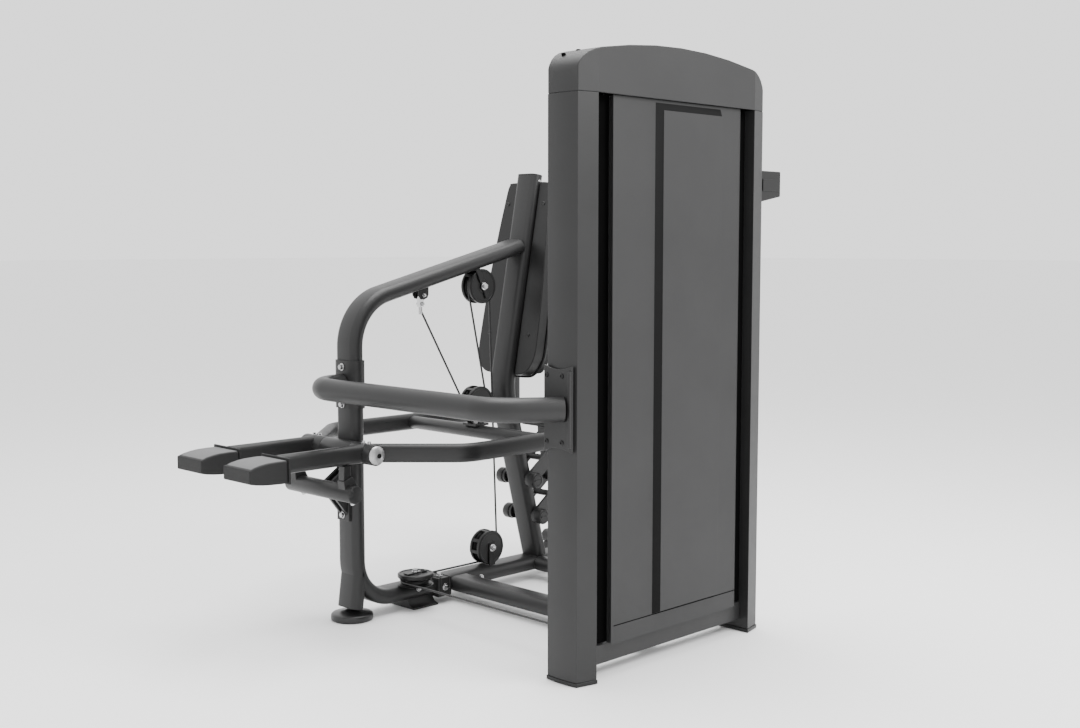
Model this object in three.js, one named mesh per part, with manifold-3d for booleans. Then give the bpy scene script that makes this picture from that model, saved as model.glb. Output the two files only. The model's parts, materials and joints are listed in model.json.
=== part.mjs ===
// Seated dip machine with a selectorised weight tower.
// Millimetres, +Z up. +X is the way the user faces, +Y is the user's left.
// The working frame has its origin on the floor, under the rear upright, on the central plane.
// The finished group is shifted so that its own origin is the bottom centre of its bounding box.
import * as THREE from 'three';
import { mergeVertices } from 'three/addons/utils/BufferGeometryUtils.js';
import Module from 'manifold-3d';

const wasm = await Module();
wasm.setup();

// ---------------------------------------------------------------- driving dimensions
const GAP = 0.3;                    // air left between pieces that touch
const RAD = Math.PI / 180;

// Main tube: a flat oval whose wide faces look forward and back.
const TUBE = { width: 88, thickness: 44, wall: 4 };
const SPINE_Z = 47;                 // centre height of the base tubes

// Rear upright, its sleeve and the boom that leans forward to the back post.
const UPRIGHT_X = 3;
const UPRIGHT_TOP = 666;
const UPRIGHT_BEND = 120;
const SLEEVE = { bottom: 600, top: 733, wall: 5 };
const BOOM = { slope: 14.3 * RAD, bend: 150, cornerZ: 884 };

// Back post: leans forward above the knee and forward again below it.
const POST = { topX: 706.6, topZ: 1264, kneeX: 582.3, kneeZ: 609.4, footX: 722.6, footZ: 74, bend: 250 };

// Base.
const JOINT_X = 300;                // where the rear and front halves of the spine meet
const FOOT_BAR = { x: 1040, half: 240, padInner: 160 };
const FLOOR_PLATE = { rear: 178, front: 271, half: 57, height: 30 };
const SIDE_TUBE = { x: 368, width: 84 };
const FRONT_TUBE = { x: 708, width: 56 };

// Weight tower, on the user's right.
const TOWER = {
  rear: 14, front: 732, shoulder: 56, inner: -762, outer: -859, flare: 14, bulge: 4, wall: 3, seam: 1404,
};
const TOWER_MID_X = (TOWER.rear + TOWER.front) / 2;
const TOWER_MID_Y = (TOWER.inner + TOWER.outer) / 2;
const SHROUD = { rear: 111, front: 641, face: -863, radius: 20, lip: 24, wall: 4, bottom: 80.5 };
const CADDY = { front: 828, inner: -784, outer: -852, floor: 1166, lip: 1182, top: 1250 };
const INNER_SHROUD = {
  face: -762, thickness: 4, bottom: 150, slotRear: 346, slotFront: 400, slotBottom: 230, slotTop: 1010,
};
const PANEL = { rear: 285, front: 542, bottom: 127, top: 1397, rise: 8, bevel: 14 };

// Press arms.
const PIVOT = new THREE.Vector3(-31.6, 0, 486);
const ARM_Z = 488;
const ARM_TUBE = { height: 52, thickness: 34 };
const ARM = { y: 308, flareX: 164, flareStart: -20, cross: 471, riseX: 927, socketZ: 700 };
const GRIP = { offset: 55, half: 70, radius: 16, z: 733 };
const BEAM = { y: 113, end: -319 };
const HUB = { radius: 28.5, inner: 64, outer: 160 };
const CAP_RADIUS = 26;
const STOP_BAR = { x: -94.4, z: 384.5, radius: 24, half: 148.5 };

// Cable and pulleys.
const CABLE_R = 3;
const WRAP_R = 42.5;                // from a pulley's axis to the middle of the cable
const LOW_WRAP_R = 26;
const WHEEL = { radius: 47, groove: 38.6, width: 16, bore: 6.2 };
const CHEEK = { radius: 52, half: 22, thickness: 11 };
const STACK_CABLE_Y = -812;
const HEAD_Z = 1432;
const CABLE_Z = 81.5;               // height of the cable along the base
const TOWER_CABLE_X = 155;

// Seat four-bar, parallelogram links on both sides of the post.
const SEAT_UPPER = new THREE.Vector3(658, 0, 322);
const SEAT_LOWER = new THREE.Vector3(686, 0, 204);
const SEAT_LINK = new THREE.Vector3(150, 0, 110);
const SEAT = { rear: 752, front: 1092, half: 168, bottom: 478, top: 548, corner: 60 };

// Weight stack.
const PLATE = { length: 300, depth: 72, thickness: 25, pitch: 25.4 };
const STACK_BOTTOM = 110;
const LOWER_PLATES = 10;
const SELECTED_PLATES = 5;
const ROD = { spread: 95, radius: 9 };

// ---------------------------------------------------------------- solids and booleans
function bare(geometry) {
  const copy = geometry.index ? geometry.clone() : geometry;
  copy.deleteAttribute('normal');
  copy.deleteAttribute('uv');
  return mergeVertices(copy, 1e-4);
}

function toSolid(geometry) {
  const clean = bare(geometry);
  const solid = new wasm.Manifold(new wasm.Mesh({
    numProp: 3,
    vertProperties: new Float32Array(clean.attributes.position.array),
    triVerts: new Uint32Array(clean.index.array),
  }));
  return solid;
}

function toGeometry(solid) {
  const mesh = solid.getMesh();
  const geometry = new THREE.BufferGeometry();
  geometry.setAttribute('position', new THREE.BufferAttribute(mesh.vertProperties, 3));
  geometry.setIndex(new THREE.BufferAttribute(mesh.triVerts, 1));
  return geometry;
}

function join(...geometries) {
  return toGeometry(geometries.map(toSolid).reduce((sum, next) => sum.add(next)));
}

function cut(body, ...cutters) {
  return toGeometry(cutters.map(toSolid).reduce((left, next) => left.subtract(next), toSolid(body)));
}

function common(a, b) {
  return toGeometry(toSolid(a).intersect(toSolid(b)));
}

function box(x0, x1, y0, y1, z0, z1) {
  const geometry = new THREE.BoxGeometry(x1 - x0, y1 - y0, z1 - z0);
  return geometry.translate((x0 + x1) / 2, (y0 + y1) / 2, (z0 + z1) / 2);
}

// A turned piece: the profile is [radius, position along the axis] pairs.
function turned(profile, axis, centre, segments = 24) {
  const points = profile.map(([radius, along]) => new THREE.Vector2(radius, along));
  const geometry = new THREE.LatheGeometry(points, segments);
  if (axis === 'z') geometry.rotateX(Math.PI / 2);
  if (axis === 'x') geometry.rotateZ(-Math.PI / 2);
  return geometry.translate(centre.x, centre.y, centre.z);
}

function rod(radius, from, to, axis, centre, segments = 20) {
  return turned([[0, from], [radius, from], [radius, to], [0, to]], axis, centre, segments);
}

// An outline drawn in X and Z, given thickness from y0 to y1.
function extrudeY(shape, y0, y1, curveSegments = 4) {
  const geometry = new THREE.ExtrudeGeometry(shape, { depth: y1 - y0, bevelEnabled: false, curveSegments });
  return geometry.rotateX(Math.PI / 2).translate(0, y1, 0);
}

// An outline drawn in Y and Z, given thickness from x0 to x1.
function extrudeX(shape, x0, x1, curveSegments = 4) {
  const geometry = new THREE.ExtrudeGeometry(shape, { depth: x1 - x0, bevelEnabled: false, curveSegments });
  return geometry.rotateX(Math.PI / 2).rotateZ(Math.PI / 2).translate(x0, 0, 0);
}

// An outline drawn in X and Y, given thickness from z0 to z1.
function extrudeZ(shape, z0, z1, curveSegments = 4) {
  const geometry = new THREE.ExtrudeGeometry(shape, { depth: z1 - z0, bevelEnabled: false, curveSegments });
  return geometry.translate(0, 0, z0);
}

function polygon(...points) {
  return new THREE.Shape(points.map(([x, y]) => new THREE.Vector2(x, y)));
}

function roundedRectangle(x0, x1, y0, y1, r) {
  const shape = new THREE.Shape();
  shape.absarc(x1 - r, y0 + r, r, -Math.PI / 2, 0);
  shape.absarc(x1 - r, y1 - r, r, 0, Math.PI / 2);
  shape.absarc(x0 + r, y1 - r, r, Math.PI / 2, Math.PI);
  shape.absarc(x0 + r, y0 + r, r, Math.PI, Math.PI * 1.5);
  return shape;
}

function flatOval(width, thickness) {
  const r = thickness / 2;
  const half = width / 2 - r;
  const shape = new THREE.Shape();
  shape.absarc(half, 0, r, -Math.PI / 2, Math.PI / 2);
  shape.absarc(-half, 0, r, Math.PI / 2, Math.PI * 1.5);
  return shape;
}

function circle(r) {
  return new THREE.Shape().absarc(0, 0, r, 0, Math.PI * 2);
}

// ---------------------------------------------------------------- tubes along bent paths
// A path whose stations are fixed: straight runs need two, and arcs are divided evenly.
class StationPath extends THREE.Curve {
  constructor(stations) {
    super();
    this.stations = stations;
    this.steps = stations.length - 1;
  }

  getPoint(t, target = new THREE.Vector3()) {
    return target.copy(this.stations[Math.round(t * this.steps)].point);
  }

  getTangent(t, target = new THREE.Vector3()) {
    return target.copy(this.stations[Math.round(t * this.steps)].tangent);
  }

  getUtoTmapping(u) {
    return u;
  }
}

function arcStations(centre, radius, heading, axis, angle, divisions) {
  return Array.from({ length: divisions + 1 }, (_, i) => {
    const tangent = heading.clone().applyAxisAngle(axis, angle * i / divisions);
    const inward = axis.clone().cross(tangent).multiplyScalar(radius);
    return { point: centre.clone().sub(inward), tangent };
  });
}

// Straight runs between the corners, with every inner corner rounded to its radius.
function bentPath(corners, radii, divisions = 6) {
  const points = corners.map(([x, y, z]) => new THREE.Vector3(x, y, z));
  const headings = points.slice(1).map((point, i) => point.clone().sub(points[i]).normalize());
  const stations = [{ point: points[0], tangent: headings[0] }];
  for (let i = 1; i < points.length - 1; i += 1) {
    const [before, after] = [headings[i - 1], headings[i]];
    const angle = before.angleTo(after);
    const axis = before.clone().cross(after).normalize();
    const start = points[i].clone().addScaledVector(before, -radii[i - 1] * Math.tan(angle / 2));
    const centre = start.clone().add(axis.clone().cross(before).multiplyScalar(radii[i - 1]));
    stations.push(...arcStations(centre, radii[i - 1], before, axis, angle, divisions));
  }
  stations.push({ point: points.at(-1), tangent: headings.at(-1) });
  return new StationPath(stations);
}

// A flat-oval tube: its wide direction starts out along wideAxis.
// With a wall it is hollow, and open at both ends.
function ovalTube(path, width, thickness, wideAxis, curveSegments = 4, wall = 0) {
  const wide = path.computeFrenetFrames(path.steps).normals[0].dot(wideAxis);
  const turn = Math.abs(wide) > 0.7 ? 0 : Math.PI / 2;
  const outline = (inset) => flatOval(width - 2 * inset, thickness - 2 * inset)
    .getPoints(curveSegments)
    .map((p) => p.rotateAround(new THREE.Vector2(), turn));
  const shape = new THREE.Shape(outline(0));
  if (wall > 0) shape.holes.push(new THREE.Path(outline(wall)));
  return sweep(shape, path, curveSegments);
}

function sweep(shape, path, curveSegments = 4) {
  return new THREE.ExtrudeGeometry(shape, {
    steps: path.steps, extrudePath: path, curveSegments, bevelEnabled: false,
  });
}

const AXIS = {
  x: new THREE.Vector3(1, 0, 0),
  y: new THREE.Vector3(0, 1, 0),
  z: new THREE.Vector3(0, 0, 1),
};
const at = (x, y, z) => new THREE.Vector3(x, y, z);

// ---------------------------------------------------------------- materials
const FINISH = {
  powder: { color: 0x3a3a3b, roughness: 0.55, metalness: 0.3 },
  shroud: { color: 0x333334, roughness: 0.6, metalness: 0.2 },
  plastic: { color: 0x141414, roughness: 0.4, metalness: 0 },
  cover: { color: 0x4a4a4b, roughness: 0.75, metalness: 0 },
  rubber: { color: 0x0c0c0c, roughness: 0.5, metalness: 0 },
  zinc: { color: 0xb8b8b6, roughness: 0.3, metalness: 1 },
  vinyl: { color: 0x39393b, roughness: 0.7, metalness: 0 },
  cable: { color: 0x101010, roughness: 0.45, metalness: 0 },
  plate: { color: 0x1c1c1c, roughness: 0.6, metalness: 0.5 },
};

const machine = new THREE.Group();

function add(name, geometry, finish) {
  const mesh = new THREE.Mesh(bare(geometry), new THREE.MeshStandardMaterial(FINISH[finish]));
  mesh.name = name;
  machine.add(mesh);
}

// ---------------------------------------------------------------- rear upright and boom
function mainTube(path, grow = 0, wall = 0) {
  return ovalTube(path, TUBE.width + 2 * grow, TUBE.thickness + 2 * grow, AXIS.y, 4, wall);
}

function uprightPath(top = UPRIGHT_TOP) {
  return bentPath([[JOINT_X, 0, SPINE_Z], [UPRIGHT_X, 0, SPINE_Z], [UPRIGHT_X, 0, top]], [UPRIGHT_BEND], 10);
}

function rearStub() {
  return mainTube(bentPath([[-5, 0, 34], [9, 0, 138]], []));
}

// Outline of a folded floor plate with hollow sides, centred on the given place.
function floorPlateOutline(middle) {
  const { half, height } = FLOOR_PLATE;
  const shape = new THREE.Shape();
  shape.moveTo(middle - half, 0);
  shape.lineTo(middle + half, 0);
  shape.lineTo(middle + half, 5);
  shape.quadraticCurveTo(middle + half - 19, 8, middle + half - 27, height);
  shape.lineTo(middle - half + 27, height);
  shape.quadraticCurveTo(middle - half + 19, 8, middle - half, 5);
  return shape;
}

function spineFoot() {
  return extrudeX(floorPlateOutline(0), FLOOR_PLATE.rear, FLOOR_PLATE.front);
}

function pivotHousing() {
  return rod(HUB.radius, -HUB.inner, HUB.inner, 'y', PIVOT, 24);
}

function rearUpright() {
  const weldment = join(mainTube(uprightPath(), 0, TUBE.wall), rearStub(), spineFoot(), pivotHousing());
  return cut(weldment, rod(12.5, -80, 80, 'y', PIVOT, 16));
}

function sleeve() {
  const middle = (SLEEVE.bottom + SLEEVE.top) / 2;
  const path = bentPath([[UPRIGHT_X, 0, SLEEVE.bottom], [UPRIGHT_X, 0, SLEEVE.top]], []);
  const bore = bentPath([[UPRIGHT_X, 0, middle - 100], [UPRIGHT_X, 0, middle + 100]], []);
  return cut(mainTube(path, SLEEVE.wall), mainTube(bore, GAP));
}

function postPath() {
  const stretch = (POST.kneeX - POST.footX) / (POST.kneeZ - POST.footZ);
  const low = 40;
  return bentPath([
    [POST.footX + stretch * (low - POST.footZ), 0, low],
    [POST.kneeX, 0, POST.kneeZ],
    [POST.topX, 0, POST.topZ],
  ], [POST.bend], 4);
}

function boom() {
  const reach = 655 - UPRIGHT_X;
  const path = bentPath([
    [UPRIGHT_X, 0, UPRIGHT_TOP + GAP],
    [UPRIGHT_X, 0, BOOM.cornerZ],
    [UPRIGHT_X + reach, 0, BOOM.cornerZ + reach * Math.tan(BOOM.slope)],
  ], [BOOM.bend], 8);
  return cut(mainTube(path, 0, TUBE.wall), mainTube(postPath(), GAP));
}

// ---------------------------------------------------------------- base
function spine(grow = 0, wall = 0) {
  return mainTube(bentPath([[JOINT_X + GAP, 0, SPINE_Z], [FOOT_BAR.x, 0, SPINE_Z]], []), grow, wall);
}

function spineSleeve() {
  const half = TUBE.width / 2 + 12;
  const block = box(274, 324, -half, half, SPINE_Z - 28, SPINE_Z + 28);
  const socket = mainTube(bentPath([[200, 0, SPINE_Z], [JOINT_X, 0, SPINE_Z]], []), GAP);
  const through = mainTube(bentPath([[JOINT_X - 1, 0, SPINE_Z], [340, 0, SPINE_Z]], []), -TUBE.wall);
  return cut(block, socket, through);
}

// Cross bar under the seat that carries the front of the machine on two floor plates.
function frontFootBar() {
  const { x, half, padInner } = FOOT_BAR;
  const path = bentPath([[x, -half, SPINE_Z], [x, half, SPINE_Z]], []);
  const bar = ovalTube(path, TUBE.width, TUBE.thickness, AXIS.x, 4, TUBE.wall);
  const pads = [[-half, -padInner], [padInner, half]].map(([y0, y1]) => extrudeY(floorPlateOutline(x), y0, y1));
  return join(bar, ...pads);
}

function baseTube(centreX, width, endY) {
  const path = bentPath([[centreX, -20, SPINE_Z], [centreX, endY, SPINE_Z]], []);
  return cut(ovalTube(path, width, TUBE.thickness, AXIS.x, 4, TUBE.wall), spine(GAP));
}

function rearFoot() {
  const profile = [
    [0, 0], [57, 0], [59.5, 3], [59.5, 14], [56, 18], [40, 21], [18, 26], [10, 28], [10, 31.6], [0, 31.6],
  ];
  return turned(profile, 'z', at(0, 0, 0), 32);
}

// ---------------------------------------------------------------- stop bar and buffers
const BUFFER_Y = BEAM.y;
const BLOCK = { rearX: -118, rearZ: 421, frontX: -89, frontZ: 432, half: 15 };

function stopBlock(side) {
  const shape = polygon(
    [BLOCK.rearX, BLOCK.rearZ], [-112, 385], [-76, 385], [-72, 402], [BLOCK.frontX, BLOCK.frontZ],
  );
  const middle = side * BUFFER_Y;
  const block = extrudeY(shape, middle - BLOCK.half, middle + BLOCK.half);
  return cut(block, box(-112, -94, middle - 4, middle + 4, 416, 440));
}

function stopBracket() {
  const rear = UPRIGHT_X - TUBE.thickness / 2;
  const plate = box(rear - 8 - GAP, rear - GAP, -27, 27, 285, 446);
  const web = polygon([rear - 4, 300], [-80, 372], [-94, 384.5], [-80, 402], [rear - 4, 440]);
  return join(plate, extrudeY(web, -20, -10), extrudeY(web, 10, 20));
}

function stopBar() {
  const bar = rod(STOP_BAR.radius, -STOP_BAR.half, STOP_BAR.half, 'y', at(STOP_BAR.x, 0, STOP_BAR.z), 24);
  return join(bar, stopBracket(), stopBlock(1), stopBlock(-1));
}

function buffer(side) {
  const top = ARM_Z - ARM_TUBE.height / 2 - 0.5;
  const slope = (BLOCK.frontZ - BLOCK.rearZ) / (BLOCK.frontX - BLOCK.rearX);
  const seat = (x) => BLOCK.rearZ + (x - BLOCK.rearX) * slope + GAP;
  const shape = polygon([-116, seat(-116)], [-91, seat(-91)], [-93, top], [-114, top]);
  const middle = side * BUFFER_Y;
  return extrudeY(shape, middle - 12, middle + 12);
}

// ---------------------------------------------------------------- guard rail
const GUARD = { z: 666, radius: 30, wall: 3, x: -131, plateX: 9.4, plateThickness: 7 };

function guardTube() {
  const meetX = GUARD.plateX - GUARD.plateThickness / 2;
  const path = bentPath([
    [meetX + 8, -822, GUARD.z],
    [GUARD.x, -729, GUARD.z],
    [GUARD.x, 0, GUARD.z],
    [UPRIGHT_X - TUBE.thickness / 2 - SLEEVE.wall - GAP, 0, GUARD.z],
  ], [120, 88], 8);
  const ring = circle(GUARD.radius);
  ring.holes.push(circle(GUARD.radius - GUARD.wall));
  const tube = sweep(ring, path, 8);
  return cut(tube, box(meetX, 100, -900, -700, 600, 740));
}

// Bracket plate: scalloped ends, centred on the rail's height.
function guardPlate() {
  const shape = new THREE.Shape();
  const [inner, outer, low, high] = [-761, -852, GUARD.z - 103, GUARD.z + 103];
  const middle = (inner + outer) / 2;
  shape.moveTo(outer, low);
  shape.quadraticCurveTo(middle, low + 18, inner, low);
  shape.lineTo(inner, high);
  shape.quadraticCurveTo(middle, high - 18, outer, high);
  return extrudeX(shape, GUARD.plateX - GUARD.plateThickness, GUARD.plateX);
}

// ---------------------------------------------------------------- weight tower
// Plan of one upright: narrow rounded end outside, flaring towards the middle of the tower.
function uprightPlan(grow = 0) {
  const end = TOWER.rear - grow;
  const inside = TOWER.rear + TOWER.shoulder + grow;
  const shape = new THREE.Shape();
  shape.moveTo(end, TOWER.inner + grow);
  shape.quadraticCurveTo(end - 8, TOWER_MID_Y, end, TOWER.outer - grow);
  shape.lineTo(inside, TOWER.outer - TOWER.flare - grow);
  shape.lineTo(inside, TOWER.inner + TOWER.flare + grow);
  return shape;
}

function towerUpright() {
  const bore = extrudeZ(uprightPlan(-TOWER.wall), 0, TOWER.seam + 10);
  return cut(extrudeZ(uprightPlan(), 10, TOWER.seam), bore);
}

function mirrorX(geometry) {
  const flipped = geometry.clone().scale(-1, 1, 1).translate(2 * TOWER_MID_X, 0, 0);
  const merged = bare(flipped);
  const index = merged.index.array;
  for (let i = 0; i < index.length; i += 3) [index[i], index[i + 1]] = [index[i + 1], index[i]];
  return merged;
}

function capPlan(inset) {
  const [rear, front] = [TOWER.rear + inset, TOWER.front - inset];
  const shape = new THREE.Shape();
  shape.moveTo(rear, TOWER.inner - inset);
  shape.quadraticCurveTo(rear - 8, TOWER_MID_Y, rear, TOWER.outer + inset);
  shape.lineTo(TOWER.rear + TOWER.shoulder, TOWER.outer - TOWER.flare + inset);
  shape.lineTo(TOWER.front - TOWER.shoulder, TOWER.outer - TOWER.flare + inset);
  shape.lineTo(front, TOWER.outer + inset);
  shape.quadraticCurveTo(front + 8, TOWER_MID_Y, front, TOWER.inner - inset);
  shape.lineTo(TOWER.front - TOWER.shoulder, TOWER.inner + TOWER.flare - inset);
  shape.lineTo(TOWER.rear + TOWER.shoulder, TOWER.inner + TOWER.flare - inset);
  return shape;
}

// Side view of the cap: straight ends, rounded shoulders and a shallow arch.
function capProfile(inset, bottom) {
  const [rear, front] = [TOWER.rear - 6 + inset, TOWER.front + 6 - inset];
  const shape = new THREE.Shape();
  shape.moveTo(rear, bottom);
  shape.lineTo(front, bottom);
  shape.lineTo(front, 1436);
  shape.quadraticCurveTo(front - 4, 1496 - inset, front - 74, 1509 - inset);
  shape.quadraticCurveTo(TOWER_MID_X, 1560 - inset, rear + 74, 1509 - inset);
  shape.quadraticCurveTo(rear + 4, 1496 - inset, rear, 1436);
  return shape;
}

function towerCap() {
  const wall = 5;
  const outer = common(
    extrudeZ(capPlan(0), TOWER.seam + GAP, 1560),
    extrudeY(capProfile(0, TOWER.seam), -900, -720, 6),
  );
  const inner = common(
    extrudeZ(capPlan(wall), TOWER.seam - 20, 1560),
    extrudeY(capProfile(wall, TOWER.seam - 10), -900, -720, 6),
  );
  return cut(outer, inner);
}

// The outer shroud is a folded sheet: flat face, rounded vertical edges and short returns.
function outerShroud() {
  const { rear, front, face, radius, lip, wall, bottom } = SHROUD;
  const shape = new THREE.Shape();
  shape.moveTo(rear, face + lip);
  shape.lineTo(rear, face + radius);
  shape.absarc(rear + radius, face + radius, radius, Math.PI, Math.PI * 1.5);
  shape.absarc(front - radius, face + radius, radius, Math.PI * 1.5, Math.PI * 2);
  shape.lineTo(front, face + lip);
  shape.lineTo(front - wall, face + lip);
  shape.absarc(front - radius, face + radius, radius - wall, 0, -Math.PI / 2, true);
  shape.absarc(rear + radius, face + radius, radius - wall, -Math.PI / 2, -Math.PI, true);
  shape.lineTo(rear + wall, face + lip);
  return extrudeZ(shape, bottom, TOWER.seam, 3);
}

// A plate whose four edges slope back to the shroud.
function shroudPanel() {
  const { rear, front, bottom, top, rise, bevel } = PANEL;
  const base = SHROUD.face - GAP;
  const centre = at((rear + front) / 2, base, (bottom + top) / 2);
  const half = [(front - rear) / 2, (top - bottom) / 2];
  const ring = (x, z, y) => [[-x, -z], [x, -z], [x, z], [-x, z]].map(([u, w]) => [u, y, w]).flat();
  const geometry = new THREE.BufferGeometry();
  const points = [...ring(half[0], half[1], 0), ...ring(half[0] - bevel, half[1] - bevel, -rise)];
  geometry.setAttribute('position', new THREE.Float32BufferAttribute(points, 3));
  const sides = [0, 1, 2, 3].flatMap((i) => {
    const j = (i + 1) % 4;
    return [i, j, j + 4, i, j + 4, i + 4];
  });
  geometry.setIndex([0, 2, 1, 0, 3, 2, 4, 5, 6, 4, 6, 7, ...sides]);
  return geometry.translate(centre.x, centre.y, centre.z);
}

// Small caddy on the front of the tower, its floor rising forward.
function accessoryBox() {
  const rear = TOWER.front + TOWER.bulge + GAP;
  const { front, inner, outer, floor, lip, top } = CADDY;
  return extrudeY(polygon([rear, floor], [front, lip], [front, top], [rear, top]), outer, inner);
}

// Folded sheet with the slot that the selector pin is reached through.
function innerShroud() {
  const { face, thickness, bottom, slotRear, slotFront, slotBottom, slotTop } = INNER_SHROUD;
  const sheet = box(SHROUD.rear, SHROUD.front, face - thickness, face, bottom, TOWER.seam);
  return cut(sheet, box(slotRear, slotFront, face - 2 * thickness, face + thickness, slotBottom, slotTop));
}

const BEAM_X = [TOWER.rear + TOWER.shoulder + GAP, TOWER.front - TOWER.shoulder - GAP];

// Bottom beam with the cable's slot and the two ears of the low pulley.
function towerBaseBeam() {
  const beam = box(BEAM_X[0], BEAM_X[1], -845, -775, 33, 80);
  const x = TOWER_CABLE_X;
  const hub = at(x, STACK_CABLE_Y + LOW_WRAP_R, CABLE_Z + LOW_WRAP_R);
  const notched = cut(beam, box(x - 11, x + 11, -825, -770, 66, 90));
  const ear = (x0) => box(x0, x0 + 5, hub.y - 10, hub.y + 10, 79, hub.z + 10);
  return join(notched, ear(x - 16), ear(x + 11), rod(6, -13, 13, 'x', hub, 12));
}

function towerHeadBeam() {
  const beam = box(BEAM_X[0], BEAM_X[1], -838, -777, 1350, 1378);
  const slot = (x) => box(x - 10, x + 10, STACK_CABLE_Y - 10, STACK_CABLE_Y + 10, 1340, 1390);
  const wheels = [TOWER_CABLE_X + WRAP_R, TOWER_MID_X - WRAP_R];
  const ear = (y0) => box(wheels[0] - 20, wheels[1] + 20, y0, y0 + 5, 1377, HEAD_Z + 16);
  const axle = (x) => rod(6, -16, 16, 'y', at(x, STACK_CABLE_Y, HEAD_Z), 12);
  const slotted = cut(beam, slot(TOWER_CABLE_X), slot(TOWER_MID_X));
  return join(slotted, ear(STACK_CABLE_Y - 17), ear(STACK_CABLE_Y + 12), ...wheels.map(axle));
}

// ---------------------------------------------------------------- pulleys
// radius is measured to the cable's middle; the groove and rim scale with it.
function wheel(axis, centre, radius = WRAP_R) {
  const rim = WHEEL.radius - WRAP_R + radius;
  const groove = WHEEL.groove - WRAP_R + radius;
  const half = WHEEL.width / 2;
  const profile = [
    [WHEEL.bore, -half], [rim, -half], [rim, -half + 2], [groove, -2.5],
    [groove, 2.5], [rim, half - 2], [rim, half], [WHEEL.bore, half], [WHEEL.bore, -half],
  ];
  return turned(profile, axis, centre, 24);
}

// Two round cheeks held together by an axle and by spacers outside the wheel.
function housing(axis, centre, low, high, thickness, spacerAngles) {
  const cheeks = [
    rod(CHEEK.radius, low, low + thickness[0], axis, centre, 28),
    rod(CHEEK.radius, high - thickness[1], high, axis, centre, 28),
  ];
  const axle = rod(6, low + 1, high - 1, axis, centre, 12);
  const spacers = spacerAngles.map((angle) => {
    const spacer = box(48, 51.5, -5, 5, low + 1, high - 1).rotateZ(angle * RAD);
    if (axis === 'y') spacer.rotateX(Math.PI / 2);
    return spacer.translate(centre.x, centre.y, centre.z);
  });
  return join(...cheeks, axle, ...spacers);
}

const PULLEY = {
  arm: { centre: at(477, 0, 573), radius: WRAP_R, turn: 1 },
  upper: { centre: at(487, 0, 927), radius: WRAP_R, turn: -1 },
  base: { centre: at(517, 0, CABLE_Z + WRAP_R), radius: WRAP_R, turn: -1 },
  flat: { centre: at(TOWER_CABLE_X + WRAP_R, -WRAP_R, CABLE_Z), radius: WRAP_R, turn: 1 },
  low: {
    centre: at(TOWER_CABLE_X, STACK_CABLE_Y + LOW_WRAP_R, CABLE_Z + LOW_WRAP_R), radius: LOW_WRAP_R, turn: -1,
  },
  headRear: { centre: at(TOWER_CABLE_X + WRAP_R, STACK_CABLE_Y, HEAD_Z), radius: WRAP_R, turn: -1 },
  headFront: { centre: at(TOWER_MID_X - WRAP_R, STACK_CABLE_Y, HEAD_Z), radius: WRAP_R, turn: -1 },
};
const ANCHOR_END = { centre: at(259, 0, 864), radius: 0, turn: 0 };

function sidePulleyHousing(pulley, spacers) {
  return housing('y', pulley.centre, -CHEEK.half, CHEEK.half, [CHEEK.thickness, CHEEK.thickness], spacers);
}

// Hanging bracket between the boom and the upper pulley.
function upperPulleyHousing() {
  const { x, z } = PULLEY.upper.centre;
  const strap = (y0) => box(x - 12, x + 12, y0, y0 + 4, z + 8, z + 84);
  const body = join(sidePulleyHousing(PULLEY.upper, [40, 90, 140]), strap(-26), strap(22));
  const reach = 655 - UPRIGHT_X;
  const boomPath = bentPath([
    [UPRIGHT_X + 200, 0, BOOM.cornerZ + 200 * Math.tan(BOOM.slope)],
    [UPRIGHT_X + reach, 0, BOOM.cornerZ + reach * Math.tan(BOOM.slope)],
  ], []);
  return cut(body, mainTube(boomPath, GAP));
}

// Lug under the arm pulley, resting on the cross tube.
function armPulleyHousing() {
  const { x, z } = PULLEY.arm.centre;
  const strap = (y0) => box(x - 12, x + 12, y0, y0 + 4, 488, z + 8);
  const foot = box(ARM.cross - 24, ARM.cross + 30, -34, 34, 490, 513);
  const body = join(sidePulleyHousing(PULLEY.arm, [120, 60]), strap(-26), strap(22), foot);
  return cut(body, crossTube(GAP));
}

function basePulleyHousing() {
  const { x, z } = PULLEY.base.centre;
  const strap = (y0) => box(x - 14, x + 14, y0, y0 + 4, SPINE_Z + TUBE.thickness / 2 + GAP, z + 8);
  const spineTop = box(x - 90, x + 90, -60, 60, 0, SPINE_Z + TUBE.thickness / 2 + GAP);
  return cut(join(sidePulleyHousing(PULLEY.base, [100, 150, 190]), strap(-26), strap(22)), spineTop);
}

// The flat pulley stands beside the spine on a short lug.
function flatPulleyHousing() {
  const { centre } = PULLEY.flat;
  const top = SPINE_Z + TUBE.thickness / 2;
  const low = top + 1 - centre.z;
  const lug = box(centre.x - 26, centre.x + 26, centre.y - 30, centre.y + 4, top + GAP, top + 4);
  return join(housing('z', centre, low, 24, [2.5, 11], [20, -30, -70]), lug);
}

// ---------------------------------------------------------------- cable
// Heading of the straight run that leaves one pulley and meets the next, both in one plane.
function runHeading(from, to, normal) {
  const span = to.centre.clone().sub(from.centre);
  const lean = Math.asin((to.turn * to.radius - from.turn * from.radius) / span.length());
  return span.normalize().applyAxisAngle(normal, -lean);
}

function wrap(pulley, inward, outward, normal) {
  const axis = normal.clone().multiplyScalar(pulley.turn);
  const plain = inward.angleTo(outward);
  const angle = inward.clone().cross(outward).dot(axis) >= 0 ? plain : 2 * Math.PI - plain;
  return arcStations(pulley.centre, pulley.radius, inward, axis, angle, Math.max(3, Math.round(angle / 0.28)));
}

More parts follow.
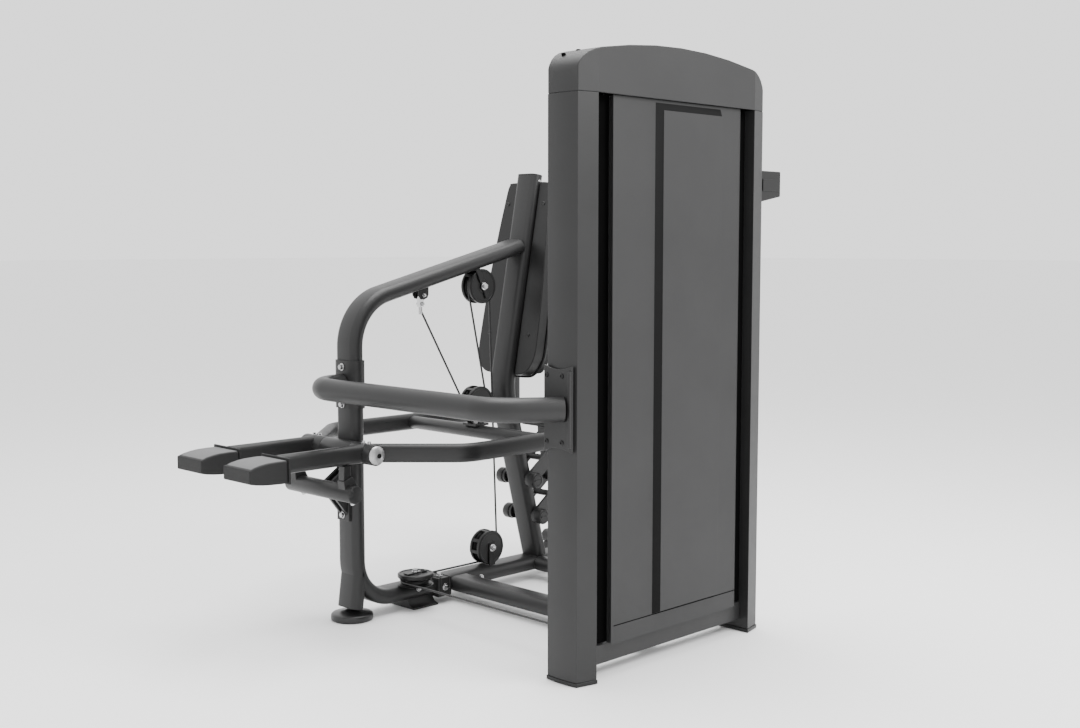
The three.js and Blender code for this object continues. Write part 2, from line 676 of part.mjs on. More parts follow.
const UP_PLANE = at(0, -1, 0);      // with X to the right and Z up, a left turn is about this axis
const OVER_PLANE = at(1, 0, 0);
const RUN = {
  anchorToArm: runHeading(ANCHOR_END, PULLEY.arm, UP_PLANE),
  armToUpper: runHeading(PULLEY.arm, PULLEY.upper, UP_PLANE),
  upperToBase: runHeading(PULLEY.upper, PULLEY.base, UP_PLANE),
  rearward: at(-1, 0, 0),
  toTower: at(0, -1, 0),
  upward: at(0, 0, 1),
  forward: at(1, 0, 0),
  downward: at(0, 0, -1),
};

function cableThrough(stations) {
  return sweep(circle(CABLE_R), new StationPath(stations), 4);
}

// From the anchor under the boom, round the arm pulley and up to the upper pulley.
function cableArmLoop() {
  const upperEntry = wrap(PULLEY.upper, RUN.armToUpper, RUN.upperToBase, UP_PLANE)[0];
  const meeting = upperEntry.point.clone().addScaledVector(RUN.armToUpper, -GAP);
  return cableThrough([
    { point: ANCHOR_END.centre, tangent: RUN.anchorToArm },
    ...wrap(PULLEY.arm, RUN.anchorToArm, RUN.armToUpper, UP_PLANE),
    { point: meeting, tangent: RUN.armToUpper },
  ]);
}

// Over the upper pulley, down the machine, along the base, into the tower and over its head.
function cableMainRun() {
  const last = wrap(PULLEY.headFront, RUN.forward, RUN.downward, UP_PLANE);
  return cableThrough([
    ...wrap(PULLEY.upper, RUN.armToUpper, RUN.upperToBase, UP_PLANE),
    ...wrap(PULLEY.base, RUN.upperToBase, RUN.rearward, UP_PLANE),
    ...wrap(PULLEY.flat, RUN.rearward, RUN.toTower, AXIS.z),
    ...wrap(PULLEY.low, RUN.toTower, RUN.upward, OVER_PLANE),
    ...wrap(PULLEY.headRear, RUN.upward, RUN.forward, UP_PLANE),
    ...last,
  ]);
}

const STACK_TOP = STACK_BOTTOM + (LOWER_PLATES + SELECTED_PLATES) * PLATE.pitch + PLATE.thickness;

function cableStackRun() {
  return rod(CABLE_R, STACK_TOP + 40 + GAP, HEAD_Z - GAP, 'z', at(TOWER_MID_X, STACK_CABLE_Y, 0), 8);
}

// Fork, link and eye that hold the cable's fixed end under the boom.
function cableAnchor() {
  const ear = (y0) => box(226, 248, y0, y0 + 5, 888, 918);
  const link = box(233, 243, -6, 6, 878, 912);
  const eye = rod(9, -6, 6, 'y', at(243, 0, 880), 16);
  const socket = rod(7, 2, 22, 'z', at(0, 0, 0), 12);
  const lean = new THREE.Quaternion().setFromUnitVectors(RUN.downward, RUN.anchorToArm);
  socket.rotateX(Math.PI).applyQuaternion(lean);
  socket.translate(ANCHOR_END.centre.x, 0, ANCHOR_END.centre.z);
  socket.translate(-22.6 * RUN.anchorToArm.x, 0, -22.6 * RUN.anchorToArm.z);
  const body = join(ear(-12), ear(7), rod(4, -11, 11, 'y', at(238, 0, 900), 10), link, eye, socket);
  const boomPath = bentPath([
    [UPRIGHT_X + 130, 0, BOOM.cornerZ + 130 * Math.tan(BOOM.slope)],
    [UPRIGHT_X + 400, 0, BOOM.cornerZ + 400 * Math.tan(BOOM.slope)],
  ], []);
  return cut(body, mainTube(boomPath, GAP));
}

// ---------------------------------------------------------------- press arms
function crossTube(grow = 0) {
  const half = ARM.y - ARM_TUBE.thickness / 2 - GAP;
  return rod(20 + grow, -half, half, 'y', at(ARM.cross, 0, ARM_Z), 20);
}

function armPath(side) {
  const flareY = side * (ARM.y - (ARM.flareX - ARM.flareStart));
  return bentPath([
    [ARM.flareStart, flareY, ARM_Z],
    [ARM.flareX, side * ARM.y, ARM_Z],
    [ARM.riseX, side * ARM.y, ARM_Z],
    [ARM.riseX, side * ARM.y, ARM.socketZ],
  ], [90, 32], 6);
}

// One welded arm: hub, rear beam and the tube that runs forward and up to its handle socket.
function pressArm(side) {
  const [y0, y1] = side > 0 ? [HUB.inner + GAP, HUB.outer] : [-HUB.outer, -HUB.inner - GAP];
  const hub = rod(HUB.radius, y0, y1, 'y', PIVOT, 24);
  const beamPath = bentPath([[PIVOT.x, side * BEAM.y, ARM_Z], [BEAM.end, side * BEAM.y, ARM_Z]], []);
  const beam = ovalTube(beamPath, ARM_TUBE.height, ARM_TUBE.thickness, AXIS.z, 3);
  const arm = ovalTube(armPath(side), ARM_TUBE.height, ARM_TUBE.thickness, AXIS.z, 3);
  const socket = rod(28, ARM.socketZ - 22, ARM.socketZ, 'z', at(ARM.riseX, side * ARM.y, 0), 20);
  const [low, high] = side > 0 ? [HUB.outer, 200] : [-200, -HUB.outer];
  const capSpace = rod(CAP_RADIUS + GAP, low, high, 'y', PIVOT);
  return cut(join(hub, beam, arm, socket), rod(12 + GAP, -200, 200, 'y', PIVOT, 16), capSpace);
}

// Shaft through the housing and both hubs, with a domed cap at each end.
function pivotShaft() {
  const [near, far] = [HUB.outer + GAP, HUB.outer + 11];
  const half = [[12, near], [CAP_RADIUS, near], [CAP_RADIUS, near + 3], [19, far - 2], [8, far], [0, far]];
  const mirrored = half.map(([radius, along]) => [radius, -along]).reverse();
  return turned([...mirrored, ...half], 'y', PIVOT, 20);
}

function counterweight(side) {
  const shape = new THREE.Shape();
  shape.moveTo(-439, 459.5);
  shape.quadraticCurveTo(-400, 446, -325 + 6, 449);
  shape.lineTo(-325 + 6, 506);
  shape.quadraticCurveTo(-400, 510, -439, 493.5);
  const [y0, y1] = [side * 52, side * 174].sort((a, b) => a - b);
  const lip = [side * 50, side * 178].sort((a, b) => a - b);
  const body = join(extrudeY(shape, y0, y1, 3), box(-325, BEAM.end - GAP, lip[0], lip[1], 446, 513));
  return cut(body, box(BEAM.end - GAP, 0, -300, 300, 400, 600));
}

// Cranked grip: half a turn about its upright stem moves it from outside the arm to inside.
function handle(side) {
  const y = side * ARM.y;
  const gripY = y + side * GRIP.offset;
  const [y0, y1] = [y, gripY].sort((a, b) => a - b);
  return join(
    rod(15, ARM.socketZ + GAP, GRIP.z + 15, 'z', at(ARM.riseX, y, 0), 16),
    rod(11, y0, y1, 'y', at(ARM.riseX, 0, GRIP.z), 14),
    rod(GRIP.radius, ARM.riseX - GRIP.half, ARM.riseX + GRIP.half, 'x', at(0, gripY, GRIP.z), 18),
  );
}

// ---------------------------------------------------------------- seat
const LINK = { inner: 46, outer: 56, radius: 22, bore: 12.4, pinBore: 10.4 };

function linkPlate(from, y0, y1) {
  const to = from.clone().add(SEAT_LINK);
  const angle = Math.atan2(SEAT_LINK.z, SEAT_LINK.x);
  const shape = new THREE.Shape();
  shape.absarc(from.x, from.z, LINK.radius, angle + Math.PI / 2, angle + Math.PI * 1.5);
  shape.absarc(to.x, to.z, LINK.radius, angle - Math.PI / 2, angle + Math.PI / 2);
  return extrudeY(shape, y0, y1, 4);
}

// Two side plates joined by a tie bar, with a bore at each end.
function seatLink(from) {
  const middle = from.clone().addScaledVector(SEAT_LINK, 0.52);
  const to = from.clone().add(SEAT_LINK);
  const link = join(
    linkPlate(from, LINK.inner, LINK.outer), linkPlate(from, -LINK.outer, -LINK.inner),
    rod(10, -LINK.inner - 1, LINK.inner + 1, 'y', middle, 12),
  );
  return cut(link, rod(LINK.bore, -70, 70, 'y', from, 16), rod(LINK.pinBore, -70, 70, 'y', to, 16));
}

// Pin through the post with a round cap outside each link plate.
function seatPivotPin(centre) {
  const [cap, end] = [LINK.outer + 1, 85];
  const half = [[12, cap], [24, cap], [24, end - 4], [20, end], [0, end]];
  const mirrored = half.map(([radius, along]) => [radius, -along]).reverse();
  return turned([...mirrored, ...half], 'y', centre, 20);
}

function backPost() {
  const post = join(mainTube(postPath(), 0, TUBE.wall), seatPivotPin(SEAT_UPPER), seatPivotPin(SEAT_LOWER));
  return cut(post, box(500, 900, -100, 100, 0, SPINE_Z + TUBE.thickness / 2 + GAP));
}

// The carriage between the links: a side outline, its two pins and the plate under the pad.
function seatCarriage() {
  const upper = SEAT_UPPER.clone().add(SEAT_LINK);
  const lower = SEAT_LOWER.clone().add(SEAT_LINK);
  const outline = polygon(
    [lower.x - 22, lower.z - 22], [lower.x + 26, lower.z - 22], [lower.x + 120, upper.z + 20],
    [lower.x + 120, SEAT.bottom - 8], [upper.x - 30, SEAT.bottom - 8], [upper.x - 26, upper.z - 20],
  );
  const pins = [upper, lower].map((centre) => rod(10, -60, 60, 'y', centre, 16));
  const plate = box(SEAT.rear + 26, SEAT.front - 60, -110, 110, SEAT.bottom - 8.2, SEAT.bottom - GAP);
  return join(extrudeY(outline, -40, 40), ...pins, plate);
}

function seatPad() {
  const shape = roundedRectangle(SEAT.rear, SEAT.front, -SEAT.half, SEAT.half, SEAT.corner);
  return extrudeZ(shape, SEAT.bottom, SEAT.top, 4);
}

function seatPullPin() {
  const centre = at(SEAT_LOWER.x + SEAT_LINK.x + 62, 0, SEAT_UPPER.z + SEAT_LINK.z - 12);
  const profile = [[0, -40.3], [8, -40.3], [8, -62], [18, -62], [18, -84], [14, -88], [0, -88]];
  return turned(profile.reverse(), 'y', centre, 16);
}

// ---------------------------------------------------------------- back pad
// Local frame of the pad: u across (Y), s along the post, n forward from the post's middle.
const PAD_LEAN = Math.atan2(POST.topX - POST.kneeX, POST.topZ - POST.kneeZ);
const PAD_ORIGIN = at(POST.topX - (POST.topZ - 950) * Math.tan(PAD_LEAN), 0, 950);

function padOutline(inset = 0) {
  const half = (value) => value - inset;
  const shape = new THREE.Shape();
  shape.moveTo(half(92) - 20, 303 - inset);
  shape.quadraticCurveTo(half(92), 303 - inset, half(94), 280 - inset);
  shape.quadraticCurveTo(half(130), 20, half(130), -215);
  shape.quadraticCurveTo(half(130), -300 + inset, half(60), -304 + inset);
  shape.lineTo(-half(60), -304 + inset);
  shape.quadraticCurveTo(-half(130), -300 + inset, -half(130), -215);
  shape.quadraticCurveTo(-half(130), 20, -half(94), 280 - inset);
  shape.quadraticCurveTo(-half(92), 303 - inset, -half(92) + 20, 303 - inset);
  return shape;
}

// Stand an outline (u, s) up against the leaning post, from n0 to n1.
function onPost(geometry) {
  return geometry.rotateY(PAD_LEAN).translate(PAD_ORIGIN.x, 0, PAD_ORIGIN.z);
}

function padBacking() {
  const shell = extrudeX(padOutline(3), -2, 34, 4);
  const channel = box(-20, 24.5, -50, 50, -400, 400);
  return onPost(cut(shell, channel));
}

function backPad() {
  return onPost(extrudeX(padOutline(), 34.3, 100, 4));
}

// ---------------------------------------------------------------- weight stack
function plateBlock(count, bottom, rear, front) {
  const body = [];
  const y = [STACK_CABLE_Y - PLATE.depth / 2, STACK_CABLE_Y + PLATE.depth / 2];
  for (let i = 0; i < count; i += 1) {
    const z = bottom + i * PLATE.pitch;
    body.push(box(rear, front, y[0], y[1], z, z + PLATE.thickness));
  }
  return body;
}

const STACK_X = [TOWER_MID_X - PLATE.length / 2, TOWER_MID_X + PLATE.length / 2];

function guideBores(z0, z1) {
  return [-1, 1].map((side) => (
    rod(ROD.radius + 1, z0, z1, 'z', at(TOWER_MID_X + side * ROD.spread, STACK_CABLE_Y, 0), 12)
  ));
}

// Plates lie on each other with a hair of air; thin ribs at their ends keep one group in one piece.
function plates(count, bottom) {
  const top = bottom + count * PLATE.pitch - (PLATE.pitch - PLATE.thickness);
  const y = STACK_CABLE_Y;
  const ribs = [STACK_X[0] + 12, STACK_X[1] - 16].map((x) => box(x, x + 4, y - 20, y + 20, bottom, top));
  const bores = guideBores(bottom - 5, top + 5);
  return cut(join(...plateBlock(count, bottom, STACK_X[0], STACK_X[1]), ...ribs), ...bores);
}

function stackLowerPlates() {
  return plates(LOWER_PLATES, STACK_BOTTOM);
}

// The plates above the pin, the narrower top plate and the neck that the cable holds.
function stackSelectedPlates() {
  const bottom = STACK_TOP - PLATE.thickness;
  const [y0, y1] = [STACK_CABLE_Y - 34, STACK_CABLE_Y + 34];
  const top = box(STACK_X[0], STACK_X[1], y0, y1, bottom - 0.6, STACK_TOP);
  const neck = rod(10, STACK_TOP - 1, STACK_TOP + 40, 'z', at(TOWER_MID_X, STACK_CABLE_Y, 0), 16);
  const bores = guideBores(bottom - 5, STACK_TOP + 5);
  const selected = plates(SELECTED_PLATES, STACK_BOTTOM + LOWER_PLATES * PLATE.pitch);
  return join(selected, cut(join(top, neck), ...bores));
}

function selectorPin() {
  const face = STACK_CABLE_Y + PLATE.depth / 2;
  const z = STACK_BOTTOM + LOWER_PLATES * PLATE.pitch + PLATE.thickness / 2;
  const profile = [
    [0, face + GAP], [12, face + GAP], [12, face + 8], [6, face + 12],
    [6, face + 22], [15, face + 26], [15, face + 44], [0, face + 44],
  ];
  return turned(profile, 'y', at(TOWER_MID_X, 0, z), 16);
}

// ---------------------------------------------------------------- assembly
add('rear_upright', rearUpright(), 'powder');
add('upright_sleeve', sleeve(), 'powder');
add('upper_boom', boom(), 'powder');
add('back_post', backPost(), 'powder');
add('base_spine', join(spine(0, TUBE.wall), spineSleeve(), frontFootBar()), 'powder');
add('base_side_tube', baseTube(SIDE_TUBE.x, SIDE_TUBE.width, -775 + GAP), 'powder');
add('base_front_tube', baseTube(FRONT_TUBE.x, FRONT_TUBE.width, -748 + GAP), 'powder');
add('rear_foot', rearFoot(), 'rubber');
add('stop_bar', stopBar(), 'powder');
add('guard_rail', join(guardTube(), guardPlate()), 'powder');

add('tower_upright_rear', towerUpright(), 'powder');
add('tower_upright_front', mirrorX(towerUpright()), 'powder');
add('tower_foot_rear', extrudeZ(uprightPlan(2), 0, 10 - GAP), 'plastic');
add('tower_foot_front', mirrorX(extrudeZ(uprightPlan(2), 0, 10 - GAP)), 'plastic');
add('tower_cap', towerCap(), 'shroud');
add('outer_shroud', outerShroud(), 'shroud');
add('shroud_panel', shroudPanel(), 'shroud');
add('inner_shroud', innerShroud(), 'shroud');
add('tower_base_beam', towerBaseBeam(), 'powder');
add('tower_head_beam', towerHeadBeam(), 'powder');
add('accessory_box', accessoryBox(), 'plastic');

for (const [name, side] of [['rear', -1], ['front', 1]]) {
  const centre = at(TOWER_MID_X + side * ROD.spread, STACK_CABLE_Y, 0);
  add(`guide_rod_${name}`, rod(ROD.radius, 80 + GAP, 1350 - GAP, 'z', centre, 12), 'zinc');
}
add('stack_lower_plates', stackLowerPlates(), 'plate');
add('stack_selected_plates', stackSelectedPlates(), 'plate');
add('selector_pin', selectorPin(), 'rubber');

add('pivot_shaft', pivotShaft(), 'zinc');
add('arm_cross_tube', crossTube(), 'powder');
for (const [name, side] of [['left', 1], ['right', -1]]) {
  add(`buffer_${name}`, buffer(side), 'rubber');
  add(`press_arm_${name}`, pressArm(side), 'powder');
  add(`counterweight_${name}`, counterweight(side), 'cover');
  add(`handle_${name}`, handle(side), 'zinc');
}

add('upper_pulley_housing', upperPulleyHousing(), 'plastic');
add('arm_pulley_housing', armPulleyHousing(), 'plastic');
add('base_pulley_housing', basePulleyHousing(), 'plastic');
add('flat_pulley_housing', flatPulleyHousing(), 'plastic');
add('upper_pulley_wheel', wheel('y', PULLEY.upper.centre), 'plastic');
add('arm_pulley_wheel', wheel('y', PULLEY.arm.centre), 'plastic');
add('base_pulley_wheel', wheel('y', PULLEY.base.centre), 'plastic');
add('flat_pulley_wheel', wheel('z', PULLEY.flat.centre), 'plastic');
add('tower_low_wheel', wheel('x', PULLEY.low.centre, LOW_WRAP_R), 'plastic');
add('tower_head_wheel_rear', wheel('y', PULLEY.headRear.centre), 'plastic');
add('tower_head_wheel_front', wheel('y', PULLEY.headFront.centre), 'plastic');

add('cable_anchor', cableAnchor(), 'zinc');
add('cable_arm_loop', cableArmLoop(), 'cable');
add('cable_main_run', cableMainRun(), 'cable');
add('cable_stack_run', cableStackRun(), 'cable');

add('seat_link_upper', seatLink(SEAT_UPPER), 'powder');
add('seat_link_lower', seatLink(SEAT_LOWER), 'powder');
add('seat_carriage', seatCarriage(), 'powder');
add('seat_pad', seatPad(), 'vinyl');
add('seat_pull_pin', seatPullPin(), 'rubber');
add('pad_backing', padBacking(), 'plastic');
add('back_pad', backPad(), 'vinyl');

const bounds = new THREE.Box3().setFromObject(machine);
const middle = bounds.getCenter(new THREE.Vector3());
machine.position.set(-middle.x, -middle.y, -bounds.min.z);

export default machine;
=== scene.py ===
# Seated dip machine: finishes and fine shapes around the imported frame.
# Shapes are drawn in millimetres, in the maker's frame: origin on the floor under the rear upright,
# +X the way the user faces, +Y the user's left. finished() places them in the row's frame, in metres.
import json
import math

import bmesh
import bpy
from mathutils import Matrix, Vector


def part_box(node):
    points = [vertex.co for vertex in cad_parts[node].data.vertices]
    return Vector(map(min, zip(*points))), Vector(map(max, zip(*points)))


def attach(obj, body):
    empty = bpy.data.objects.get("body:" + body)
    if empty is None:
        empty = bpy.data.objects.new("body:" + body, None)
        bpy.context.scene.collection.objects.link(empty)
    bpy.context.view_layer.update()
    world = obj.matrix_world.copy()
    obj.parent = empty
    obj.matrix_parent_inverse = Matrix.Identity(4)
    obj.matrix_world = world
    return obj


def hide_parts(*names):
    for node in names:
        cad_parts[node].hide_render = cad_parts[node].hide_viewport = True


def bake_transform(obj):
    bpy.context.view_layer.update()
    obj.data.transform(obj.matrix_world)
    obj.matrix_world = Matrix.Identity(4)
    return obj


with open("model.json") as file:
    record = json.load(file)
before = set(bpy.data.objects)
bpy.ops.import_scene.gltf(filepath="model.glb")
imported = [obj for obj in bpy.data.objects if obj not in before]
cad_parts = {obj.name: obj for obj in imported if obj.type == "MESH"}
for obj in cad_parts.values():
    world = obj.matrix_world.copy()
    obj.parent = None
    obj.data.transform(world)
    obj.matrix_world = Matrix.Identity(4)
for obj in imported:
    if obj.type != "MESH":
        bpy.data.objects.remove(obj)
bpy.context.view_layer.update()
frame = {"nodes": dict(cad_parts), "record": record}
NODES = frame["nodes"]

foot_low, foot_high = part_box("rear_foot")
foot_centre = ((foot_low.x + foot_high.x) / 2, (foot_low.y + foot_high.y) / 2, 0)
PLACE = Matrix.Translation(foot_centre) @ Matrix.Scale(0.001, 4)
X, Y, Z = Vector((1, 0, 0)), Vector((0, 1, 0)), Vector((0, 0, 1))
MM = 0.001


# ---------------------------------------------------------------- shader wrapper
class Tone:
    """One socket of a material's nodes; arithmetic on it adds Math nodes."""

    def __init__(self, tree, socket):
        self.tree = tree
        self.socket = socket

    def node(self, kind, settings=None, **inputs):
        made = self.tree.nodes.new(kind)
        for key, value in (settings or {}).items():
            setattr(made, key, value)
        for key, value in inputs.items():
            slot = made.inputs[int(key[1:])] if key[0] == "_" else made.inputs[key]
            if isinstance(value, Tone):
                self.tree.links.new(value.socket, slot)
            else:
                slot.default_value = value
        return made

    def _math(self, operation, a, b):
        made = self.node("ShaderNodeMath", {"operation": operation}, _0=a, _1=b)
        return Tone(self.tree, made.outputs[0])

    def __add__(self, other):
        return self._math("ADD", self, other)

    __radd__ = __add__

    def __mul__(self, other):
        return self._math("MULTIPLY", self, other)

    __rmul__ = __mul__

    def noise(self, scale, detail=3.0):
        made = self.node("ShaderNodeTexNoise", None, Vector=self, Scale=scale, Detail=detail)
        return Tone(self.tree, made.outputs["Fac"])

    def cells(self, scale):
        made = self.node("ShaderNodeTexVoronoi", {"feature": "F1"}, Vector=self, Scale=scale)
        return Tone(self.tree, made.outputs["Distance"])

    def between(self, dark, light):
        made = self.node("ShaderNodeMix", {"data_type": "RGBA"})
        self.tree.links.new(self.socket, made.inputs[0])
        made.inputs[6].default_value = (*dark, 1)
        made.inputs[7].default_value = (*light, 1)
        return Tone(self.tree, made.outputs[2])


def finish(name, dark, light, rough, grain, height, metal=0.0, spread=0.08, cells=False, shine=0.5):
    """A procedural finish: mottled colour, uneven gloss and a fine grain in the normal."""
    material = bpy.data.materials.new(name)
    material.use_nodes = True
    tree = material.node_tree
    shader = tree.nodes["Principled BSDF"]
    where = Tone(tree, tree.nodes.new("ShaderNodeTexCoord").outputs["Object"])
    mottle = where.noise(7.0)
    fine = where.cells(grain) if cells else where.noise(grain, 2.0)
    colour = (mottle * 0.7 + fine * 0.3).between(dark, light)
    tree.links.new(colour.socket, shader.inputs["Base Color"])
    gloss = rough - spread / 2 + where.noise(38.0) * spread + fine * 0.03
    tree.links.new(gloss.socket, shader.inputs["Roughness"])
    bump = where.node("ShaderNodeBump", None, Height=fine, Distance=height)
    tree.links.new(bump.outputs[0], shader.inputs["Normal"])
    shader.inputs["Metallic"].default_value = metal
    shader.inputs["Specular IOR Level"].default_value = shine
    return material


def grey(level):
    return (level, level, level * 1.01)


POWDER = finish(
    "charcoal powder coat", grey(0.013), grey(0.022), 0.38, 900.0, 0.00012, spread=0.1, shine=0.3,
)
SHROUD = finish("textured shroud coat", grey(0.019), grey(0.028), 0.5, 1400.0, 0.00014, shine=0.25)
# Painted shade: the panel's sloped border is coloured near-black to stand for the shade on it, not its own
# paint.
PANEL_BORDER_SHADE = finish("painted shade on panel border", grey(0.003), grey(0.005), 0.6, 1400.0, 0.00014, shine=0.08)
PLASTIC = finish("black moulded plastic", grey(0.005), grey(0.010), 0.36, 700.0, 0.00005, shine=0.3)
COVER = finish("grained weight cover", grey(0.010), grey(0.019), 0.55, 650.0, 0.0005, cells=True, shine=0.2)
# Painted highlight: a light grey finish for the tops of the counterweights, standing for the light they catch.
WEIGHT_TOP_HIGHLIGHT = finish("painted highlight on weight top", grey(0.085), grey(0.15), 0.6, 420.0, 0.0007, cells=True, shine=0.3)
RUBBER = finish("black rubber", grey(0.006), grey(0.011), 0.34, 500.0, 0.00008)
ZINC = finish("bright zinc", grey(0.42), grey(0.52), 0.2, 300.0, 0.00003, metal=1.0)
SILVER = finish("satin silver cap", grey(0.36), grey(0.44), 0.34, 900.0, 0.00003, metal=0.6)
CHROME = finish("polished grip steel", grey(0.62), grey(0.7), 0.14, 200.0, 0.00002, metal=1.0, spread=0.04)
VINYL = finish(
    "grey upholstery vinyl", grey(0.006), grey(0.011), 0.48, 520.0, 0.0004, spread=0.12, cells=True, shine=0.2,
)
CABLE = finish("cable jacket", grey(0.012), grey(0.018), 0.4, 600.0, 0.00004)
STEEL = finish("blackened plate", grey(0.020), grey(0.034), 0.5, 420.0, 0.0001, metal=0.6)
SHADOW = finish("unlit recess", grey(0.002), grey(0.004), 0.9, 400.0, 0.00003, shine=0.0)


# ---------------------------------------------------------------- pieces
def finished(name, bm, material, body, replaces=(), bevel=0.0, angle=35.0, segments=2, place=True):
    """Closes the drawing: puts it in the row's frame, rounds its edges and hangs it on its body."""
    if place:
        bmesh.ops.transform(bm, matrix=PLACE, verts=bm.verts)
    mesh = bpy.data.meshes.new(name)
    bmesh.ops.recalc_face_normals(bm, faces=bm.faces)
    bm.to_mesh(mesh)
    bm.free()
    mesh.materials.append(material)
    mesh.polygons.foreach_set("use_smooth", [True] * len(mesh.polygons))
    mesh.set_sharp_from_angle(angle=math.radians(angle))
    piece = bpy.data.objects.new(name, mesh)
    bpy.context.scene.collection.objects.link(piece)
    if bevel:
        edge = piece.modifiers.new("rounded edges", "BEVEL")
        edge.width = bevel * MM
        edge.segments = segments
        edge.limit_method = "ANGLE"
        edge.angle_limit = math.radians(40)
        edge.harden_normals = True
    if body:
        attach(piece, body)
    if replaces:
        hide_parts(*replaces)
    return piece


def oval_ring(bm, width, thickness, start, heading, wide, sides=28):
    """A flat-oval ring of edges, square to its heading, its long way along wide."""
    made = bmesh.ops.create_circle(bm, cap_ends=False, radius=thickness / 2, segments=sides)["verts"]
    bmesh.ops.rotate(bm, verts=made, cent=(0, 0, 0), matrix=Matrix.Rotation(math.pi / sides, 3, "Z"))
    for side in (-1, 1):
        half = [v for v in made if v.co.x * side > 0]
        bmesh.ops.translate(bm, verts=half, vec=(side * (width - thickness) / 2, 0, 0))
    across = wide.normalized()
    turn = Matrix((across, heading.cross(across), heading)).transposed().to_4x4()
    bmesh.ops.transform(bm, matrix=Matrix.Translation(start) @ turn, verts=made)
    return list({edge for v in made for edge in v.link_edges})


def swept(bm, corners, radii, width, thickness, wide, sides=28, bend_steps=14, caps=True):
    """A tube: straight runs are extruded, and every bend is spun about its own centre."""
    points = [Vector(c) for c in corners]
    headings = [(b - a).normalized() for a, b in zip(points, points[1:])]
    ring = oval_ring(bm, width, thickness, points[0], headings[0], wide, sides)
    first = list(ring)
    here = points[0]
    for corner, radius, before, after in zip(points[1:], radii, headings, headings[1:]):
        angle = before.angle(after)
        start = corner - before * radius * math.tan(angle / 2)
        axis = before.cross(after).normalized()
        centre = start + axis.cross(before) * radius
        ring = run_on(bm, ring, start - here)
        spun = bmesh.ops.spin(
            bm, geom=ring, cent=centre, axis=axis, angle=angle, steps=bend_steps, use_merge=False,
        )
        ring = [g for g in spun["geom_last"] if isinstance(g, bmesh.types.BMEdge)]
        here = corner + after * radius * math.tan(angle / 2)
    ring = run_on(bm, ring, points[-1] - here)
    if caps:
        bmesh.ops.edgeloop_fill(bm, edges=first)
        bmesh.ops.edgeloop_fill(bm, edges=ring)


def run_on(bm, ring, step):
    made = bmesh.ops.extrude_edge_only(bm, edges=ring)["geom"]
    verts = [g for g in made if isinstance(g, bmesh.types.BMVert)]
    bmesh.ops.translate(bm, verts=verts, vec=step)
    kept = set(verts)
    return [g for g in made if isinstance(g, bmesh.types.BMEdge) and set(g.verts) <= kept]


def turned(bm, profile, centre, axis, steps=48):
    """A turned piece: [radius, along] pairs spun a full turn about the axis through the centre."""
    along = axis.normalized()
    out = along.orthogonal().normalized()
    verts = [bm.verts.new(Vector(centre) + out * r + along * a) for r, a in profile]
    edges = [bm.edges.new(pair) for pair in zip(verts, verts[1:])]
    bmesh.ops.spin(
        bm, geom=verts + edges, cent=centre, axis=along, angle=2 * math.pi, steps=steps, use_merge=True,
    )
    bmesh.ops.remove_doubles(bm, verts=bm.verts, dist=0.01)


def disc(radius, low, high, edge=1.0):
    """Profile of a plain round with softened rims."""
    return [
        (0, low), (radius - edge, low), (radius - 0.3 * edge, low + 0.3 * edge), (radius, low + edge),
        (radius, high - edge), (radius - 0.3 * edge, high - 0.3 * edge), (radius - edge, high), (0, high),
    ]


def slab(bm, low, high):
    made = bmesh.ops.create_cube(bm, size=1.0)["verts"]
    size = Vector(high) - Vector(low)
    middle = (Vector(high) + Vector(low)) / 2
    bmesh.ops.transform(bm, matrix=Matrix.Translation(middle) @ Matrix.Diagonal((*size, 1)), verts=made)
    return made


def extruded(bm, outline, direction):
    """A flat outline pushed along a direction."""
    face = bm.faces.new([bm.verts.new(p) for p in outline])
    made = bmesh.ops.extrude_face_region(bm, geom=[face])["geom"]
    bmesh.ops.translate(bm, verts=[g for g in made if isinstance(g, bmesh.types.BMVert)], vec=direction)


def merged_copy(node):
    """The frame's own shape, welded, its flat faces whole again."""
    bm = bmesh.new()
    bm.from_mesh(NODES[node].data)
    bmesh.ops.remove_doubles(bm, verts=bm.verts, dist=2e-5)
    bmesh.ops.dissolve_limit(bm, angle_limit=0.01, verts=bm.verts, edges=bm.edges)
    return bm


BODY_OF = {n: b for b, members in frame["record"]["behaviour"]["bodies"].items() for n in members}


def rounded_from_frame(node, material, bevel=1.2, angle=35.0):
    """A softened copy of a frame node, for shapes that only need real edges and a finish."""
    name = node + "_skin"
    finished(name, merged_copy(node), material, BODY_OF[node], (node,), bevel, angle, 2, place=False)


def hex_bolt(name, place, axis, across=13.0, height=7.0, washer=20.0, body="frame"):
    """Hex head with a chamfered crown on a plain washer."""
    bm = bmesh.new()
    along = Vector(axis).normalized()
    base = Vector(place)
    turned(bm, disc(washer / 2, 0, 2.0, 0.5), base, along, 32)
    corner = across / math.sqrt(3)
    head = bmesh.ops.create_cone(
        bm, cap_ends=True, segments=6, radius1=corner, radius2=corner, depth=height,
    )["verts"]
    turn = Vector((0, 0, 1)).rotation_difference(along).to_matrix().to_4x4()
    bmesh.ops.transform(bm, matrix=Matrix.Translation(base + along * (2 + height / 2)) @ turn, verts=head)
    turned(bm, [(0, height + 1.8), (across * 0.36, height + 2.4), (0, height + 3.0)], base, along, 20)
    finished(name, bm, ZINC, body, bevel=0.9, angle=30)


def socket_screw(name, place, axis, radius=5.0, body="frame", material=None):
    """Low domed head with a drive recess."""
    bm = bmesh.new()
    profile = [
        (0, 0.9), (radius * 0.34, 0.9), (radius * 0.4, 2.6), (radius * 0.62, 2.9), (radius * 0.9, 2.0),
        (radius, 0),
    ]
    turned(bm, profile, Vector(place), Vector(axis), 28)
    finished(name, bm, material or ZINC, body, angle=40)


